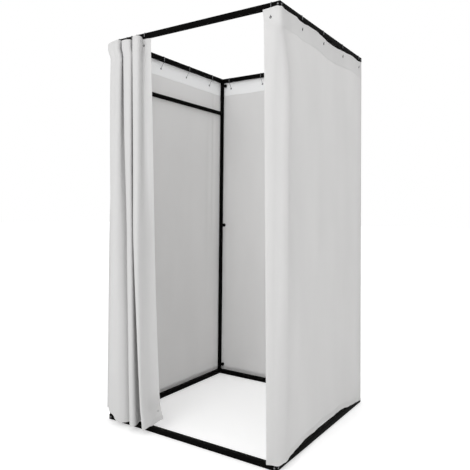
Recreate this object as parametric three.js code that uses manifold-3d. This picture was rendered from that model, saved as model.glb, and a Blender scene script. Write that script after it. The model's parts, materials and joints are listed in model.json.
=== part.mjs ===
// Portable fitting room: a black tube frame on four rails, a cloth hung round three sides
// on wire hooks, and a door curtain that draws along the front top rail.
// Millimetres. +X runs right along the front, -Y is the front, +Z is up.
// The origin is on the floor, under the middle of the whole object.
import * as THREE from "three";
import { mergeVertices } from "three/addons/utils/BufferGeometryUtils.js";
import Module from "manifold-3d";

const wasm = await Module();
wasm.setup();

// Frame
const frameWidth = 1000;
const frameDepth = 1000;
const frameHeight = 2000;
const railSize = 25;
const railCornerRadius = 3;
const uprightDiameter = 25;
const tubeWall = 1.2;
const fitGap = 0.3;

// Corner connectors
const railSpigotLength = 45;
const uprightSpigotLength = 60;

// Uprights
const uprightJointHeight = 975;
const neckLength = 60;

// Thumb screws
const knobDiameter = 22;
const knobGripThickness = 12;
const knobLobes = 8;
const knobLobeDepth = 1.6;
const knobChamfer = 1;
const knobNeckDiameter = 12;
const knobNeckLength = 6;
const knobStudDiameter = 5;
const knobRiseOverRail = 35;
const knobRiseOverJoint = 25;
const knobDropUnderRail = 21;

// Garment rail
const garmentRailDrop = 236;
const garmentRailDiameter = 25;
const saddleWall = 1.8;
const saddleHeight = 36;
const saddleJaw = 1;
const bracketShoulder = 18;
const bracketSpigotLength = 30;

// Hooks
const hookWireDiameter = 2.5;
const hookOverhang = 20;
const hookTip = 9;
const hookBend = 2.4;

// Cloth
const clothThickness = 2;
const clothTopDrop = 30;
const enclosureHem = 30;
const enclosureTopSag = 10;
const enclosureBillow = 5;
const enclosureBendRadius = 9;
const frontStripWidth = 70;
const eyeletDiameter = 10;
const eyeletDrop = 69;

// Door curtain
const doorHem = 28;
const doorTopLift = 3;
const doorFirstHookInset = 30;
const doorGatherWidth = 182;
const doorFoldDepth = 55;

// Fineness of the round pieces and of the sheets
const roundSides = 20;
const studSides = 10;
const filletSteps = 2;
const wireSides = 5;
const eyeletSides = 8;
const rowShares = [0, 0.16, 0.33, 0.5, 0.67, 0.84, 0.965, 1];
const spanColumns = 4;
const shortSpan = 100;
const bendColumns = 2;

// Hook places on each top rail, as shares of the rail's whole length from its middle,
// and the front one that carries the cloth's short return round the front right corner.
const rightHookShares = [-0.288, -0.048, 0.205, 0.449];
const backHookShares = [0.321, 0.073, -0.175, -0.423];
const leftHookShares = [0.352, 0.108, -0.132, -0.376];
const returnHookShares = [0.454];

// Plan of the door curtain's folds at its top, middle and hem. Each row gives, for the three
// heights in turn, the place along the rail as a share of the gathered width, and how far the
// cloth stands in front of its hanging line as a share of the fold depth.
const foldShares = [
  [[-0.16, 0.29], [-0.19, 0.3], [-0.2, 0.25]],
  [[-0.11, 0.16], [-0.15, 0.23], [-0.16, 0.19]],
  [[-0.016, 0], [-0.09, 0.16], [-0.12, 0.18]],
  [[0.016, 0], [-0.05, 0.14], [-0.09, 0.19]],
  [[0.05, 0.05], [-0.02, 0.16], [-0.05, 0.23]],
  [[0.05, 0.18], [0.01, 0.23], [-0.03, 0.3]],
  [[0, 0.27], [0.01, 0.32], [-0.01, 0.41]],
  [[-0.09, 0.3], [-0.01, 0.43], [0, 0.52]],
  [[-0.16, 0.39], [-0.02, 0.54], [0.01, 0.63]],
  [[-0.2, 0.59], [-0.01, 0.69], [0.03, 0.74]],
  [[-0.17, 0.83], [0.02, 0.83], [0.07, 0.87]],
  [[-0.06, 0.98], [0.1, 0.96], [0.16, 0.98]],
  [[0.08, 0.99], [0.23, 0.99], [0.32, 0.99]],
  [[0.2, 0.9], [0.41, 0.96], [0.56, 0.98]],
  [[0.25, 0.65], [0.54, 0.81], [0.75, 0.83]],
  [[0.21, 0.34], [0.57, 0.52], [0.81, 0.56]],
  [[0.22, 0.09], [0.54, 0.19], [0.79, 0.23]],
  [[0.25, 0.01], [0.52, -0.06], [0.76, -0.02]],
  [[0.294, 0], [0.51, -0.28], [0.75, -0.24]],
  [[0.326, 0], [0.51, -0.39], [0.74, -0.35]],
  [[0.35, -0.08], [0.51, -0.64], [0.74, -0.61]],
  [[0.35, -0.66], [0.53, -1.3], [0.75, -1.21]],
  [[0.4, -1.84], [0.58, -2.21], [0.81, -2.11]],
  [[0.46, -0.66], [0.64, -1.3], [0.87, -1.21]],
  [[0.46, -0.08], [0.65, -0.64], [0.88, -0.61]],
  [[0.484, 0], [0.65, -0.39], [0.88, -0.35]],
  [[0.516, 0], [0.65, -0.28], [0.88, -0.24]],
  [[0.54, 0.06], [0.65, -0.1], [0.89, -0.06]],
  [[0.53, 0.19], [0.65, 0.12], [0.89, 0.12]],
  [[0.45, 0.29], [0.64, 0.34], [0.88, 0.34]],
  [[0.35, 0.38], [0.62, 0.56], [0.87, 0.56]],
  [[0.3, 0.59], [0.63, 0.76], [0.87, 0.76]],
  [[0.34, 0.85], [0.67, 0.9], [0.91, 0.9]],
  [[0.44, 0.98], [0.73, 0.98], [0.97, 0.98]],
  [[0.58, 0.99], [0.79, 0.98], [1.04, 0.99]],
  [[0.69, 0.89], [0.85, 0.89], [1.13, 0.92]],
  [[0.74, 0.65], [0.88, 0.7], [1.2, 0.74]],
  [[0.7, 0.39], [0.88, 0.45], [1.21, 0.45]],
  [[0.63, 0.23], [0.87, 0.12], [1.19, 0.12]],
  [[0.64, 0.08], [0.86, -0.21], [1.18, -0.21]],
  [[0.674, 0], [0.85, -0.5], [1.16, -0.5]],
  [[0.706, 0], [0.85, -0.61], [1.16, -0.61]],
  [[0.73, -0.08], [0.86, -0.84], [1.17, -0.84]],
  [[0.74, -0.57], [0.87, -1.21], [1.19, -1.21]],
  [[0.79, -1.3], [0.92, -1.51], [1.23, -1.51]],
  [[0.84, -0.57], [0.96, -1.21], [1.26, -1.21]],
  [[0.84, -0.08], [0.98, -0.75], [1.28, -0.75]],
  [[0.84, 0.27], [0.98, -0.21], [1.29, -0.3]],
  [[0.82, 0.59], [0.97, 0.25], [1.28, 0.12]],
  [[0.84, 0.85], [0.96, 0.63], [1.27, 0.45]],
  [[0.91, 0.98], [0.99, 0.89], [1.29, 0.7]],
  [[0.99, 0.98], [1.08, 1.01], [1.33, 0.81]],
  [[1.05, 0.81], [1.16, 0.96], [1.37, 0.74]],
  [[1.04, 0.52], [1.21, 0.76], [1.4, 0.49]],
  [[1, 0.27], [1.22, 0.45], [1.39, 0.12]],
  [[0.96, 0.12], [1.22, 0.19], [1.37, -0.3]],
  [[0.96, 0.03], [1.22, 0.01], [1.35, -0.71]],
  [[0.984, 0], [1.22, -0.13], [1.34, -1.04]],
  [[1.016, 0], [1.22, -0.26], [1.32, -1.22]],
  [[1.06, -0.08], [1.21, -0.42], [1.31, -1.48]],
  [[1.09, -0.26], [1.21, -0.59], [1.3, -1.77]],
  [[1.09, -0.5], [1.2, -0.77], [1.29, -2.06]],
];
// Above this share of its height the curtain keeps the plan of its top.
const hookBandShare = 0.965;
// Rows of the plan that start the short flat at each of the curtain's five hooks.
const doorHookRows = [2, 18, 25, 40, 57];

// Sizes that follow from the ones above
const half = 1 / 2;
const railHalf = railSize * half;
const tubeRadius = uprightDiameter * half;
const boreRadius = tubeRadius - tubeWall;
const spigotRadius = boreRadius - fitGap;
const spigotBore = spigotRadius - tubeWall;
const wireRadius = hookWireDiameter * half;
const postX = frameWidth * half - railHalf;
const postY = frameDepth * half - railHalf;
const topRailHeight = frameHeight - railHalf;
const garmentRailHeight = frameHeight - garmentRailDrop;
const clothTop = frameHeight - clothTopDrop;
const eyeletHeight = frameHeight - eyeletDrop;
const hangOffset = railHalf + fitGap + clothThickness * half;
const clothX = postX + hangOffset;
const clothY = postY + hangOffset;
const frameSetback = (doorFoldDepth - enclosureBillow) * half;

const steel = () => new THREE.MeshStandardMaterial({ color: 0x151413, roughness: 0.42, metalness: 0.6 });
const plastic = () => new THREE.MeshStandardMaterial({ color: 0x101010, roughness: 0.6, metalness: 0 });
const wire = () => new THREE.MeshStandardMaterial({ color: 0xb9bbbd, roughness: 0.25, metalness: 1 });
const cloth = () => new THREE.MeshStandardMaterial({ color: 0xd6d6d6, roughness: 0.9, metalness: 0 });

// A closed geometry as a solid that can be joined and cut.
function solidOf(geometry) {
  const bare = geometry.clone();
  bare.deleteAttribute("normal");
  bare.deleteAttribute("uv");
  const merged = mergeVertices(bare);
  return new wasm.Manifold(
    new wasm.Mesh({
      numProp: 3,
      vertProperties: new Float32Array(merged.attributes.position.array),
      triVerts: new Uint32Array(merged.index.array),
    }),
  );
}

// A solid turned back into a geometry.
function geometryOf(solid) {
  const mesh = solid.getMesh();
  const geometry = new THREE.BufferGeometry();
  geometry.setAttribute("position", new THREE.BufferAttribute(new Float32Array(mesh.vertProperties), mesh.numProp));
  geometry.setIndex(new THREE.BufferAttribute(new Uint32Array(mesh.triVerts), 1));
  geometry.computeVertexNormals();
  return geometry;
}

function joined(first, ...others) {
  return geometryOf(others.reduce((sum, other) => sum.add(solidOf(other)), solidOf(first)));
}

function cut(body, ...tools) {
  return geometryOf(tools.reduce((rest, tool) => rest.subtract(solidOf(tool)), solidOf(body)));
}

function piece(name, geometry, material) {
  const mesh = new THREE.Mesh(geometry, material);
  mesh.name = name;
  return mesh;
}

// A cylinder that stands on the XY plane.
function standingCylinder(radius, length, sides) {
  const geometry = new THREE.CylinderGeometry(radius, radius, length, sides);
  geometry.rotateX(Math.PI / 2);
  geometry.translate(0, 0, length * half);
  return geometry;
}

// A closed ring of [radius, height] points turned round the Z axis.
function turned(points, sides) {
  const profile = [...points, points[0]].map(([radius, height]) => new THREE.Vector2(radius, height));
  const geometry = new THREE.LatheGeometry(profile, sides);
  geometry.rotateX(Math.PI / 2);
  return geometry;
}

// The outline of a square tube with rounded corners.
function roundedSquare(size, radius) {
  const shape = new THREE.Shape();
  const edge = size * half;
  const centre = edge - radius;
  [0, 1, 2, 3].forEach((quarter) => {
    const turn = (quarter * Math.PI) / 2;
    const middle = new THREE.Vector2(centre, centre).rotateAround(new THREE.Vector2(), turn);
    shape.absarc(middle.x, middle.y, radius, turn, turn + Math.PI / 2, false);
  });
  return shape;
}

function extruded(shape, length, options = {}) {
  return new THREE.ExtrudeGeometry(shape, {
    depth: length,
    bevelEnabled: false,
    curveSegments: filletSteps,
    ...options,
  });
}

// A square tube along Z, centred on the origin.
function railGeometry(length) {
  const shape = roundedSquare(railSize, railCornerRadius);
  const inside = (railSize * half - tubeWall) * 2;
  shape.holes.push(new THREE.Path(roundedSquare(inside, railCornerRadius - tubeWall).getPoints(1).reverse()));
  const geometry = extruded(shape, length);
  geometry.translate(0, 0, -length * half);
  return geometry;
}

// The four rails of one level: front, right, back and left.
function railRing(level, height) {
  const lengthX = frameWidth - (railSize + fitGap) * 2;
  const lengthY = frameDepth - (railSize + fitGap) * 2;
  const places = [
    ["front", lengthX, 0, -postY, true],
    ["right", lengthY, postX, 0, false],
    ["back", lengthX, 0, postY, true],
    ["left", lengthY, -postX, 0, false],
  ];
  return places.map(([side, length, x, y, alongX]) => {
    const rail = piece(`${level}_rail_${side}`, railGeometry(length), steel());
    rail.position.set(x, y, height);
    if (alongX) rail.rotation.y = Math.PI / 2;
    else rail.rotation.x = Math.PI / 2;
    return rail;
  });
}

// A corner block with a square spigot along +X and +Y and a round one up or down.
function cornerGeometry(upward) {
  const chamfer = railCornerRadius * half;
  const core = railSize - chamfer * 2;
  const block = extruded(roundedSquare(core, chamfer), core, {
    bevelEnabled: true,
    bevelThickness: chamfer,
    bevelSize: chamfer,
    bevelSegments: 1,
  });
  block.translate(0, 0, -core * half);
  const armShape = roundedSquare(railSize - (tubeWall + fitGap) * 2, railCornerRadius - tubeWall);
  const armX = extruded(armShape, railHalf + railSpigotLength, { curveSegments: 1 });
  armX.rotateY(Math.PI / 2);
  const armY = extruded(armShape, railHalf + railSpigotLength, { curveSegments: 1 });
  armY.rotateX(-Math.PI / 2);
  const stem = standingCylinder(spigotRadius, railHalf + uprightSpigotLength, roundSides);
  if (!upward) stem.rotateX(Math.PI);
  return joined(block, armX, armY, stem);
}

// Corners in turn from the front left, each a quarter turn on from the last.
const corners = [
  ["front_left", -1, -1],
  ["front_right", 1, -1],
  ["back_right", 1, 1],
  ["back_left", -1, 1],
];

function cornerBlocks(level, height, upward) {
  return corners.map(([where, sideX, sideY], quarter) => {
    const block = piece(`${level}_corner_${where}`, cornerGeometry(upward), plastic());
    block.position.set(sideX * postX, sideY * postY, height);
    block.rotation.z = (quarter * Math.PI) / 2;
    return block;
  });
}

// A hole through the tube's wall towards +X for a thumb screw's stud.
function studHole(height) {
  const radius = knobStudDiameter * half + fitGap;
  const hole = new THREE.CylinderGeometry(radius, radius, uprightDiameter, studSides);
  hole.rotateZ(Math.PI / 2);
  hole.translate(tubeRadius, 0, height);
  return hole;
}

const uprightFoot = railSize + fitGap;
const uprightHead = frameHeight - railSize - fitGap;
const lowKnobHeight = railSize + knobRiseOverRail;
const middleKnobHeight = uprightJointHeight + knobRiseOverJoint;
const highKnobHeight = frameHeight - railSize - knobDropUnderRail;

function lowerTubeGeometry() {
  const shoulder = uprightJointHeight - tubeWall * 2;
  const tube = turned(
    [
      [boreRadius, uprightFoot],
      [tubeRadius, uprightFoot],
      [tubeRadius, uprightJointHeight],
      [spigotRadius, uprightJointHeight],
      [spigotRadius, uprightJointHeight + neckLength],
      [spigotBore, uprightJointHeight + neckLength],
      [spigotBore, shoulder],
      [boreRadius, shoulder - tubeWall * 2],
    ],
    roundSides,
  );
  return cut(tube, studHole(lowKnobHeight));
}

function upperTubeGeometry() {
  const foot = uprightJointHeight + fitGap;
  const tube = turned(
    [
      [boreRadius, foot],
      [tubeRadius, foot],
      [tubeRadius, uprightHead],
      [boreRadius, uprightHead],
    ],
    roundSides,
  );
  return cut(tube, studHole(middleKnobHeight), studHole(highKnobHeight));
}

// A lobed grip on a neck and a stud. The stud's tip is at the origin and the grip is towards +X.
function knobGeometry() {
  const studLength = tubeRadius + fitGap - (spigotRadius + fitGap);
  const outer = knobDiameter * half - knobChamfer;
  const points = Array.from({ length: knobLobes * 2 }, (_, index) => {
    const reach = index % 2 ? outer - knobLobeDepth : outer;
    const angle = (index * Math.PI) / knobLobes;
    return new THREE.Vector2(reach * Math.cos(angle), reach * Math.sin(angle));
  });
  const grip = extruded(new THREE.Shape(points), knobGripThickness - knobChamfer * 2, {
    bevelEnabled: true,
    bevelThickness: knobChamfer,
    bevelSize: knobChamfer,
    bevelSegments: 1,
  });
  grip.translate(0, 0, studLength + knobNeckLength + knobChamfer);
  const neck = standingCylinder(knobNeckDiameter * half, knobNeckLength + knobChamfer, studSides);
  neck.translate(0, 0, studLength);
  const stud = standingCylinder(knobStudDiameter * half, studLength + knobNeckLength, studSides);
  const knob = joined(grip, neck, stud);
  knob.rotateY(Math.PI / 2);
  return knob;
}

// One upright: two tube halves and three thumb screws that face into the cabin.
// The two front uprights turn theirs to the back, and the two back ones to the middle.
function upright(where, sideX, sideY) {
  const group = new THREE.Group();
  group.position.set(sideX * postX, sideY * postY, 0);
  if (sideY < 0) group.rotation.z = Math.PI / 2;
  else group.rotation.z = sideX < 0 ? 0 : Math.PI;
  group.add(piece(`upright_lower_${where}`, lowerTubeGeometry(), steel()));
  group.add(piece(`upright_upper_${where}`, upperTubeGeometry(), steel()));
  const knobHeights = { low: lowKnobHeight, middle: middleKnobHeight, high: highKnobHeight };
  for (const [level, height] of Object.entries(knobHeights)) {
    const knob = piece(`knob_${level}_${where}`, knobGeometry(), plastic());
    knob.position.set(spigotRadius + fitGap, 0, height);
    group.add(knob);
  }
  return group;
}

// A saddle on the upright with a shoulder and a spigot for the garment rail, towards +Y.
// The saddle is open at the back, and stops short of the cloth on its outer side.
function bracketGeometry(outerSide) {
  const saddle = standingCylinder(tubeRadius + fitGap + saddleWall, saddleHeight, roundSides);
  saddle.translate(0, 0, -saddleHeight * half);
  const shoulder = standingCylinder(garmentRailDiameter * half, bracketShoulder, roundSides);
  shoulder.rotateX(-Math.PI / 2);
  const reach = bracketShoulder + bracketSpigotLength;
  const spigot = standingCylinder(garmentRailDiameter * half - tubeWall - fitGap, reach, roundSides);
  spigot.rotateX(-Math.PI / 2);
  const bore = standingCylinder(tubeRadius + fitGap, saddleHeight * 2, roundSides);
  bore.translate(0, 0, -saddleHeight);
  const block = saddleHeight * 2;
  const outside = new THREE.BoxGeometry(block, block, block);
  outside.translate(outerSide * (tubeRadius + block * half), 0, 0);
  const behind = new THREE.BoxGeometry(block, block, block);
  behind.translate(0, -saddleJaw - block * half, 0);
  return cut(joined(saddle, shoulder, spigot), bore, outside, behind);
}

// The garment rail along the left side, on its two brackets.
function garmentRail() {
  const group = new THREE.Group();
  group.position.set(-postX, 0, garmentRailHeight);
  const front = piece("garment_bracket_front", bracketGeometry(-1), steel());
  front.position.y = -postY;
  const back = piece("garment_bracket_back", bracketGeometry(1), steel());
  back.position.y = postY;
  back.rotation.z = Math.PI;
  const end = postY - bracketShoulder - fitGap;
  const outer = garmentRailDiameter * half;
  const bar = turned(
    [
      [outer - tubeWall, -end],
      [outer, -end],
      [outer, end],
      [outer - tubeWall, end],
    ],
    roundSides,
  );
  bar.rotateX(Math.PI / 2);
  group.add(front, back, piece("garment_rail", bar, steel()));
  return group;
}

// A round wire that lies in the YZ plane and runs through the points, with mitred bends.
function wireAlong(points) {
  const last = points.length - 1;
  const place = points.map(([y, z]) => new THREE.Vector2(y, z));
  const run = (from, to) => place[to].clone().sub(place[from]).normalize();
  const tube = new THREE.CylinderGeometry(wireRadius, wireRadius, 1, wireSides, last);
  const corner = tube.attributes.position;
  for (let index = 0; index < corner.count; index += 1) {
    const at = Math.round((half - corner.getY(index)) * last);
    const before = run(Math.max(at - 1, 0), Math.max(at, 1));
    const after = run(Math.min(at, last - 1), Math.min(at + 1, last));
    const bisector = before.clone().add(after).normalize();
    const reach = corner.getZ(index) / bisector.dot(after);
    corner.setXYZ(
      index,
      corner.getX(index),
      place[at].x + bisector.y * reach,
      place[at].y - bisector.x * reach,
    );
  }
  return tube;
}

// A wire hook over a rail whose middle is the origin. It starts on the rail's outer face, runs
// over the rail and down inside, then out through the eyelet to a short upturned tip. +Y is
// outwards.
function hookGeometry() {
  const reach = railHalf + fitGap + wireRadius;
  const outer = hangOffset + clothThickness * half + fitGap + wireRadius;
  const crossing = eyeletHeight + eyeletDiameter * half - fitGap * 2 - wireRadius - topRailHeight;
  const points = [
    [reach, railHalf - hookOverhang],
    [reach, reach - hookBend],
    [reach - hookBend, reach],
    [hookBend - reach, reach],
    [-reach, reach - hookBend],
    [-reach, -railHalf - hookBend],
    [0, (crossing - railHalf) * half],
    [hangOffset - hookBend, crossing],
    [outer - wireRadius, crossing],
    [outer, crossing + hookBend],
    [outer, crossing + hookTip],
  ];
  return wireAlong(points);
}

// A hook at a point of a top rail, with its tip turned to face out of the cabin.
function hook(name, x, y, outwardTurn) {
  const bent = piece(name, hookGeometry(), wire());
  bent.position.set(x, y, topRailHeight);
  bent.rotation.z = outwardTurn;
  return bent;
}

const doorFirstHookX = -frameWidth * half + doorFirstHookInset;
const doorHookX = doorHookRows.map((row) => {
  const [before, after] = [foldShares[row][0][0], foldShares[row + 1][0][0]];
  return doorFirstHookX + (before + after) * half * doorGatherWidth;
});

// Where the enclosure's hooks are, with the quarter turn that faces each one outwards.
function enclosureHookPlaces() {
  const right = rightHookShares.map((share, index) => [`hook_right_${index + 1}`, postX, share * frameDepth, -1]);
  const back = backHookShares.map((share, index) => [`hook_back_${index + 1}`, share * frameWidth, postY, 0]);
  const left = leftHookShares.map((share, index) => [`hook_left_${index + 1}`, -postX, share * frameDepth, 1]);
  const front = returnHookShares.map((share) => ["hook_front_return", share * frameWidth, -postY, 2]);
  return [...front, ...right, ...back, ...left];
}

// A thin sheet that hangs between its top edge and its hem. planAt gives the sheet's place
// for a column and a height share, and topAt the height of its top edge at a column.
function hangingSheet(columns, planAt, topAt, hem) {
  const rows = rowShares.length - 1;
  const sheet = new THREE.BoxGeometry(1, 1, 1, columns, 1, rows);
  const corner = sheet.attributes.position;
  for (let index = 0; index < corner.count; index += 1) {
    const column = Math.round((corner.getX(index) + half) * columns);
    const rise = rowShares[Math.round((corner.getZ(index) + half) * rows)];
    const before = planAt(Math.max(column - 1, 0), rise);
    const after = planAt(Math.min(column + 1, columns), rise);
    const across = after.sub(before).normalize();
    const here = planAt(column, rise);
    const offset = corner.getY(index) * clothThickness;
    corner.setXYZ(
      index,
      here.x - across.y * offset,
      here.y + across.x * offset,
      THREE.MathUtils.lerp(hem, topAt(column), rise),
    );
  }
  return sheet;
}

// Cutters for the eyelet holes, one through the cloth at each hook.
function eyeletCutters(places) {
  return places.map(([x, y, alongX]) => {
    const radius = eyeletDiameter * half;
    const cutter = new THREE.CylinderGeometry(radius, radius, clothThickness * 4, eyeletSides);
    if (alongX) cutter.rotateZ(Math.PI / 2);
    cutter.translate(x, y, eyeletHeight);
    return cutter;
  });
}

// The columns of the enclosure cloth, from its front edge round the right, back and left
// sides. Each is a place, the way outwards, and how much the cloth billows and sags there.
function enclosureColumns() {
  const columns = [];
  const straight = (stops, out) => {
    columns.push({ place: stops[0], out, billow: 0 });
    stops.slice(1).forEach((to, index) => {
      const from = stops[index];
      const count = from.distanceTo(to) > shortSpan ? spanColumns : 1;
      for (let step = 1; step <= count; step += 1) {
        const billow = Math.sin((step * Math.PI) / count) ** 2;
        columns.push({ place: from.clone().lerp(to, step / count), out, billow });
      }
    });
  };
  const nearX = clothX - enclosureBendRadius;
  const nearY = clothY - enclosureBendRadius;
  const bend = (sideX, sideY, start) => {
    for (let step = 1; step < bendColumns; step += 1) {
      const angle = start + (step * Math.PI) / 2 / bendColumns;
      const out = new THREE.Vector2(Math.cos(angle), Math.sin(angle));
      const centre = new THREE.Vector2(sideX * nearX, sideY * nearY);
      columns.push({ place: centre.addScaledVector(out, enclosureBendRadius), out, billow: 0 });
    }
  };
  const at = (x, y) => new THREE.Vector2(x, y);
  const returnStops = returnHookShares.map((share) => at(share * frameWidth, -clothY));
  const rightStops = rightHookShares.map((share) => at(clothX, share * frameDepth));
  const backStops = backHookShares.map((share) => at(share * frameWidth, clothY));
  const leftStops = leftHookShares.map((share) => at(-clothX, share * frameDepth));
  const returnEdge = at(frameWidth * half - frontStripWidth, -clothY);
  straight([returnEdge, ...returnStops, at(nearX, -clothY)], at(0, -1));
  bend(1, -1, -Math.PI / 2);
  straight([at(clothX, -nearY), ...rightStops, at(clothX, nearY)], at(1, 0));
  bend(1, 1, 0);
  straight([at(nearX, clothY), ...backStops, at(-nearX, clothY)], at(0, 1));
  bend(-1, 1, Math.PI / 2);
  straight([at(-clothX, nearY), ...leftStops, at(-clothX, -nearY)], at(-1, 0));
  return columns;
}

function enclosureCloth() {
  const columns = enclosureColumns();
  const planAt = (column, rise) => {
    const { place, out, billow } = columns[column];
    return place.clone().addScaledVector(out, billow * enclosureBillow * Math.sin(rise * Math.PI));
  };
  const topAt = (column) => clothTop - enclosureTopSag * columns[column].billow;
  const sheet = hangingSheet(columns.length - 1, planAt, topAt, enclosureHem);
  const holes = enclosureHookPlaces().map(([, x, y, turn]) => {
    const facesX = turn % 2 !== 0;
    return facesX ? [Math.sign(x) * clothX, y, true] : [x, Math.sign(y) * clothY, false];
  });
  return piece("enclosure_cloth", cut(sheet, ...eyeletCutters(holes)), cloth());
}

function doorCurtain() {
  const placeOf = ([along, front]) =>
    new THREE.Vector2(doorFirstHookX + along * doorGatherWidth, -clothY - front * doorFoldDepth);
  const planAt = (column, rise) => {
    const [top, middle, hem] = foldShares[column].map(placeOf);
    const climb = Math.min(rise / hookBandShare, 1) * 2;
    return climb < 1 ? hem.lerp(middle, climb) : middle.lerp(top, climb - 1);
  };
  const topAt = (column) => clothTop + doorTopLift * Math.max(foldShares[column][0][1], 0);
  const sheet = hangingSheet(foldShares.length - 1, planAt, topAt, doorHem);
  const holes = doorHookX.map((x) => [x, -clothY, false]);
  return piece("door_curtain", cut(sheet, ...eyeletCutters(holes)), cloth());
}

function fittingRoom() {
  const room = new THREE.Group();
  room.position.y = frameSetback;
  room.add(...railRing("bottom", railHalf), ...railRing("top", topRailHeight));
  room.add(...cornerBlocks("bottom", railHalf, true), ...cornerBlocks("top", topRailHeight, false));
  room.add(...corners.map(([where, sideX, sideY]) => upright(where, sideX, sideY)));
  room.add(garmentRail());
  enclosureHookPlaces().forEach(([name, x, y, turn]) => room.add(hook(name, x, y, (turn * Math.PI) / 2)));
  doorHookX.forEach((x, index) => room.add(hook(`hook_door_${index + 1}`, x, -postY, Math.PI)));
  room.add(enclosureCloth(), doorCurtain());
  return room;
}

export default fittingRoom();
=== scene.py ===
"""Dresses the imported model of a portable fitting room: its black tube frame, its thumb screws
and wire hooks, the cloth hung round three sides and the door curtain drawn to the left.

Metres. +X runs right along the front, -Y is the front, +Z is up.
"""

import json
import logging
import math
from collections.abc import Callable, Iterator, Sequence
from contextlib import contextmanager
from dataclasses import dataclass, field
from enum import Enum

import bmesh
import bpy
from mathutils import Matrix, Vector, noise

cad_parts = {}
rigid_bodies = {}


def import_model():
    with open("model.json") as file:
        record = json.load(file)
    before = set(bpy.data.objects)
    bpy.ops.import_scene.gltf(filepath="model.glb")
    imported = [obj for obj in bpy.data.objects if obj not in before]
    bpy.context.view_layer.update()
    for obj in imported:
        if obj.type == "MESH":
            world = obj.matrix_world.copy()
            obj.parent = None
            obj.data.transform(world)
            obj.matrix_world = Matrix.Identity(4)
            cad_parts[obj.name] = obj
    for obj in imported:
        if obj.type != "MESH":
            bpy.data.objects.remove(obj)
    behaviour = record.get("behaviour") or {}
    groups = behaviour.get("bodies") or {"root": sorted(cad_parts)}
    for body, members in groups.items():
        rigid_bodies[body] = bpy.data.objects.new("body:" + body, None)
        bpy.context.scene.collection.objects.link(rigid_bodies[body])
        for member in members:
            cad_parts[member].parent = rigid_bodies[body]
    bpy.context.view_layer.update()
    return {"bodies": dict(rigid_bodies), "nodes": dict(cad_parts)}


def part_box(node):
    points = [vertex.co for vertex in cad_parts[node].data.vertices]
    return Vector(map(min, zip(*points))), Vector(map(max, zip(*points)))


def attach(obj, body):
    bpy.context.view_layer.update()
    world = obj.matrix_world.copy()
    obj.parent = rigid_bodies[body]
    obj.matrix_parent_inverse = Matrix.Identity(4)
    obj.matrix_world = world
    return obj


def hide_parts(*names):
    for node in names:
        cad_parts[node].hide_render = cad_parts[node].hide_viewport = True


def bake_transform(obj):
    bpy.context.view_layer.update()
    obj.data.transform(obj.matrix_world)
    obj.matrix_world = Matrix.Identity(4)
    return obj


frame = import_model()

LOG = logging.getLogger("fitting_room")

TUBE_SIDES = 48
CLOTH_SMOOTHING = 50.0
CLOSE = 1e-6

Pair = tuple[float, float]
Colour = tuple[float, float, float]


# --------------------------------------------------------------------------- sizes


@dataclass(frozen=True)
class RoomSizes:
    """The sizes of the frame that every dressed piece is set out from, in metres."""

    half_width: float = 0.5
    height: float = 2.0
    setback: float = 0.025
    rail: float = 0.025
    tube_radius: float = 0.0125
    tube_wall: float = 0.0012
    tube_rim: float = 0.0004
    fit_gap: float = 0.0003
    upright_joint: float = 0.975
    neck: float = 0.06
    cloth_plane: float = 0.5013
    cloth_top: float = 1.970
    eyelet_height: float = 1.9334

    @property
    def post(self) -> float:
        """How far an upright's middle stands from the middle of the room, along X and along Y."""
        return self.half_width - self.rail / 2

    @property
    def rail_middle(self) -> float:
        """The height of the middle of the top rails."""
        return self.height - self.rail / 2

    @property
    def front(self) -> float:
        """The Y of the plane in which the front cloths hang."""
        return self.setback - self.cloth_plane

    @property
    def back(self) -> float:
        """The Y of the plane in which the back wall hangs."""
        return self.setback + self.cloth_plane

    @property
    def tube_bore(self) -> float:
        """The radius of the inside of a tube."""
        return self.tube_radius - self.tube_wall

    def tube_profile(self, foot: float, head: float) -> list[Pair]:
        """The closed profile of a plain tube with broken edges, from foot to head.

        Args:
            foot: The height of its lower end.
            head: The height of its upper end.

        Returns:
            Its rings as (radius, height).
        """
        bore, outer, rim = self.tube_bore, self.tube_radius, self.tube_rim
        return [
            (bore, foot), (outer - rim, foot), (outer, foot + rim),
            (outer, head - rim), (outer - rim, head), (bore, head), (bore, foot),
        ]


class Side(Enum):
    """A side of the room, by the turn about Z that faces +Y outwards there, in degrees."""

    BACK = 0
    LEFT = 90
    FRONT = 180
    RIGHT = -90

    @property
    def turn(self) -> Matrix:
        """The rotation that faces a piece made towards +Y out of this side."""
        return Matrix.Rotation(math.radians(self.value), 4, "Z")


class Post(Enum):
    """An upright of the frame, by its side along X and its side along Y."""

    FRONT_LEFT = (-1, -1)
    FRONT_RIGHT = (1, -1)
    BACK_RIGHT = (1, 1)
    BACK_LEFT = (-1, 1)

    @property
    def label(self) -> str:
        """The name that the nodes at this upright end in."""
        return self.name.lower()

    def place(self, sizes: RoomSizes, height: float = 0.0) -> Vector:
        """The middle of the upright at a height."""
        along, across = self.value
        return Vector((along * sizes.post, across * sizes.post + sizes.setback, height))


# --------------------------------------------------------------------------- modelling


def smooth(share: float) -> float:
    """A share held between 0 and 1 and eased at both ends."""
    held = min(max(share, 0.0), 1.0)
    return held * held * (3 - 2 * held)


def between(low: float, high: float, share: float) -> float:
    """The value a share of the way from low to high."""
    return low + (high - low) * share


def bell(distance: float, width: float) -> float:
    """A soft bump, 1 at no distance, that has died away at about twice its width."""
    return math.exp(-((distance / width) ** 2))


def through(knots: Sequence[Pair], place: float) -> float:
    """Reads a smooth curve through knots of (place, value).

    Args:
        knots: The points of the curve, in order of place.
        place: Where to read it. Outside the knots the end value holds.

    Returns:
        The value of the curve there.
    """
    if place <= knots[0][0]:
        return knots[0][1]
    for (start, low), (end, high) in zip(knots, knots[1:]):
        if place <= end:
            return between(low, high, smooth((place - start) / (end - start)))
    return knots[-1][1]


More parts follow.
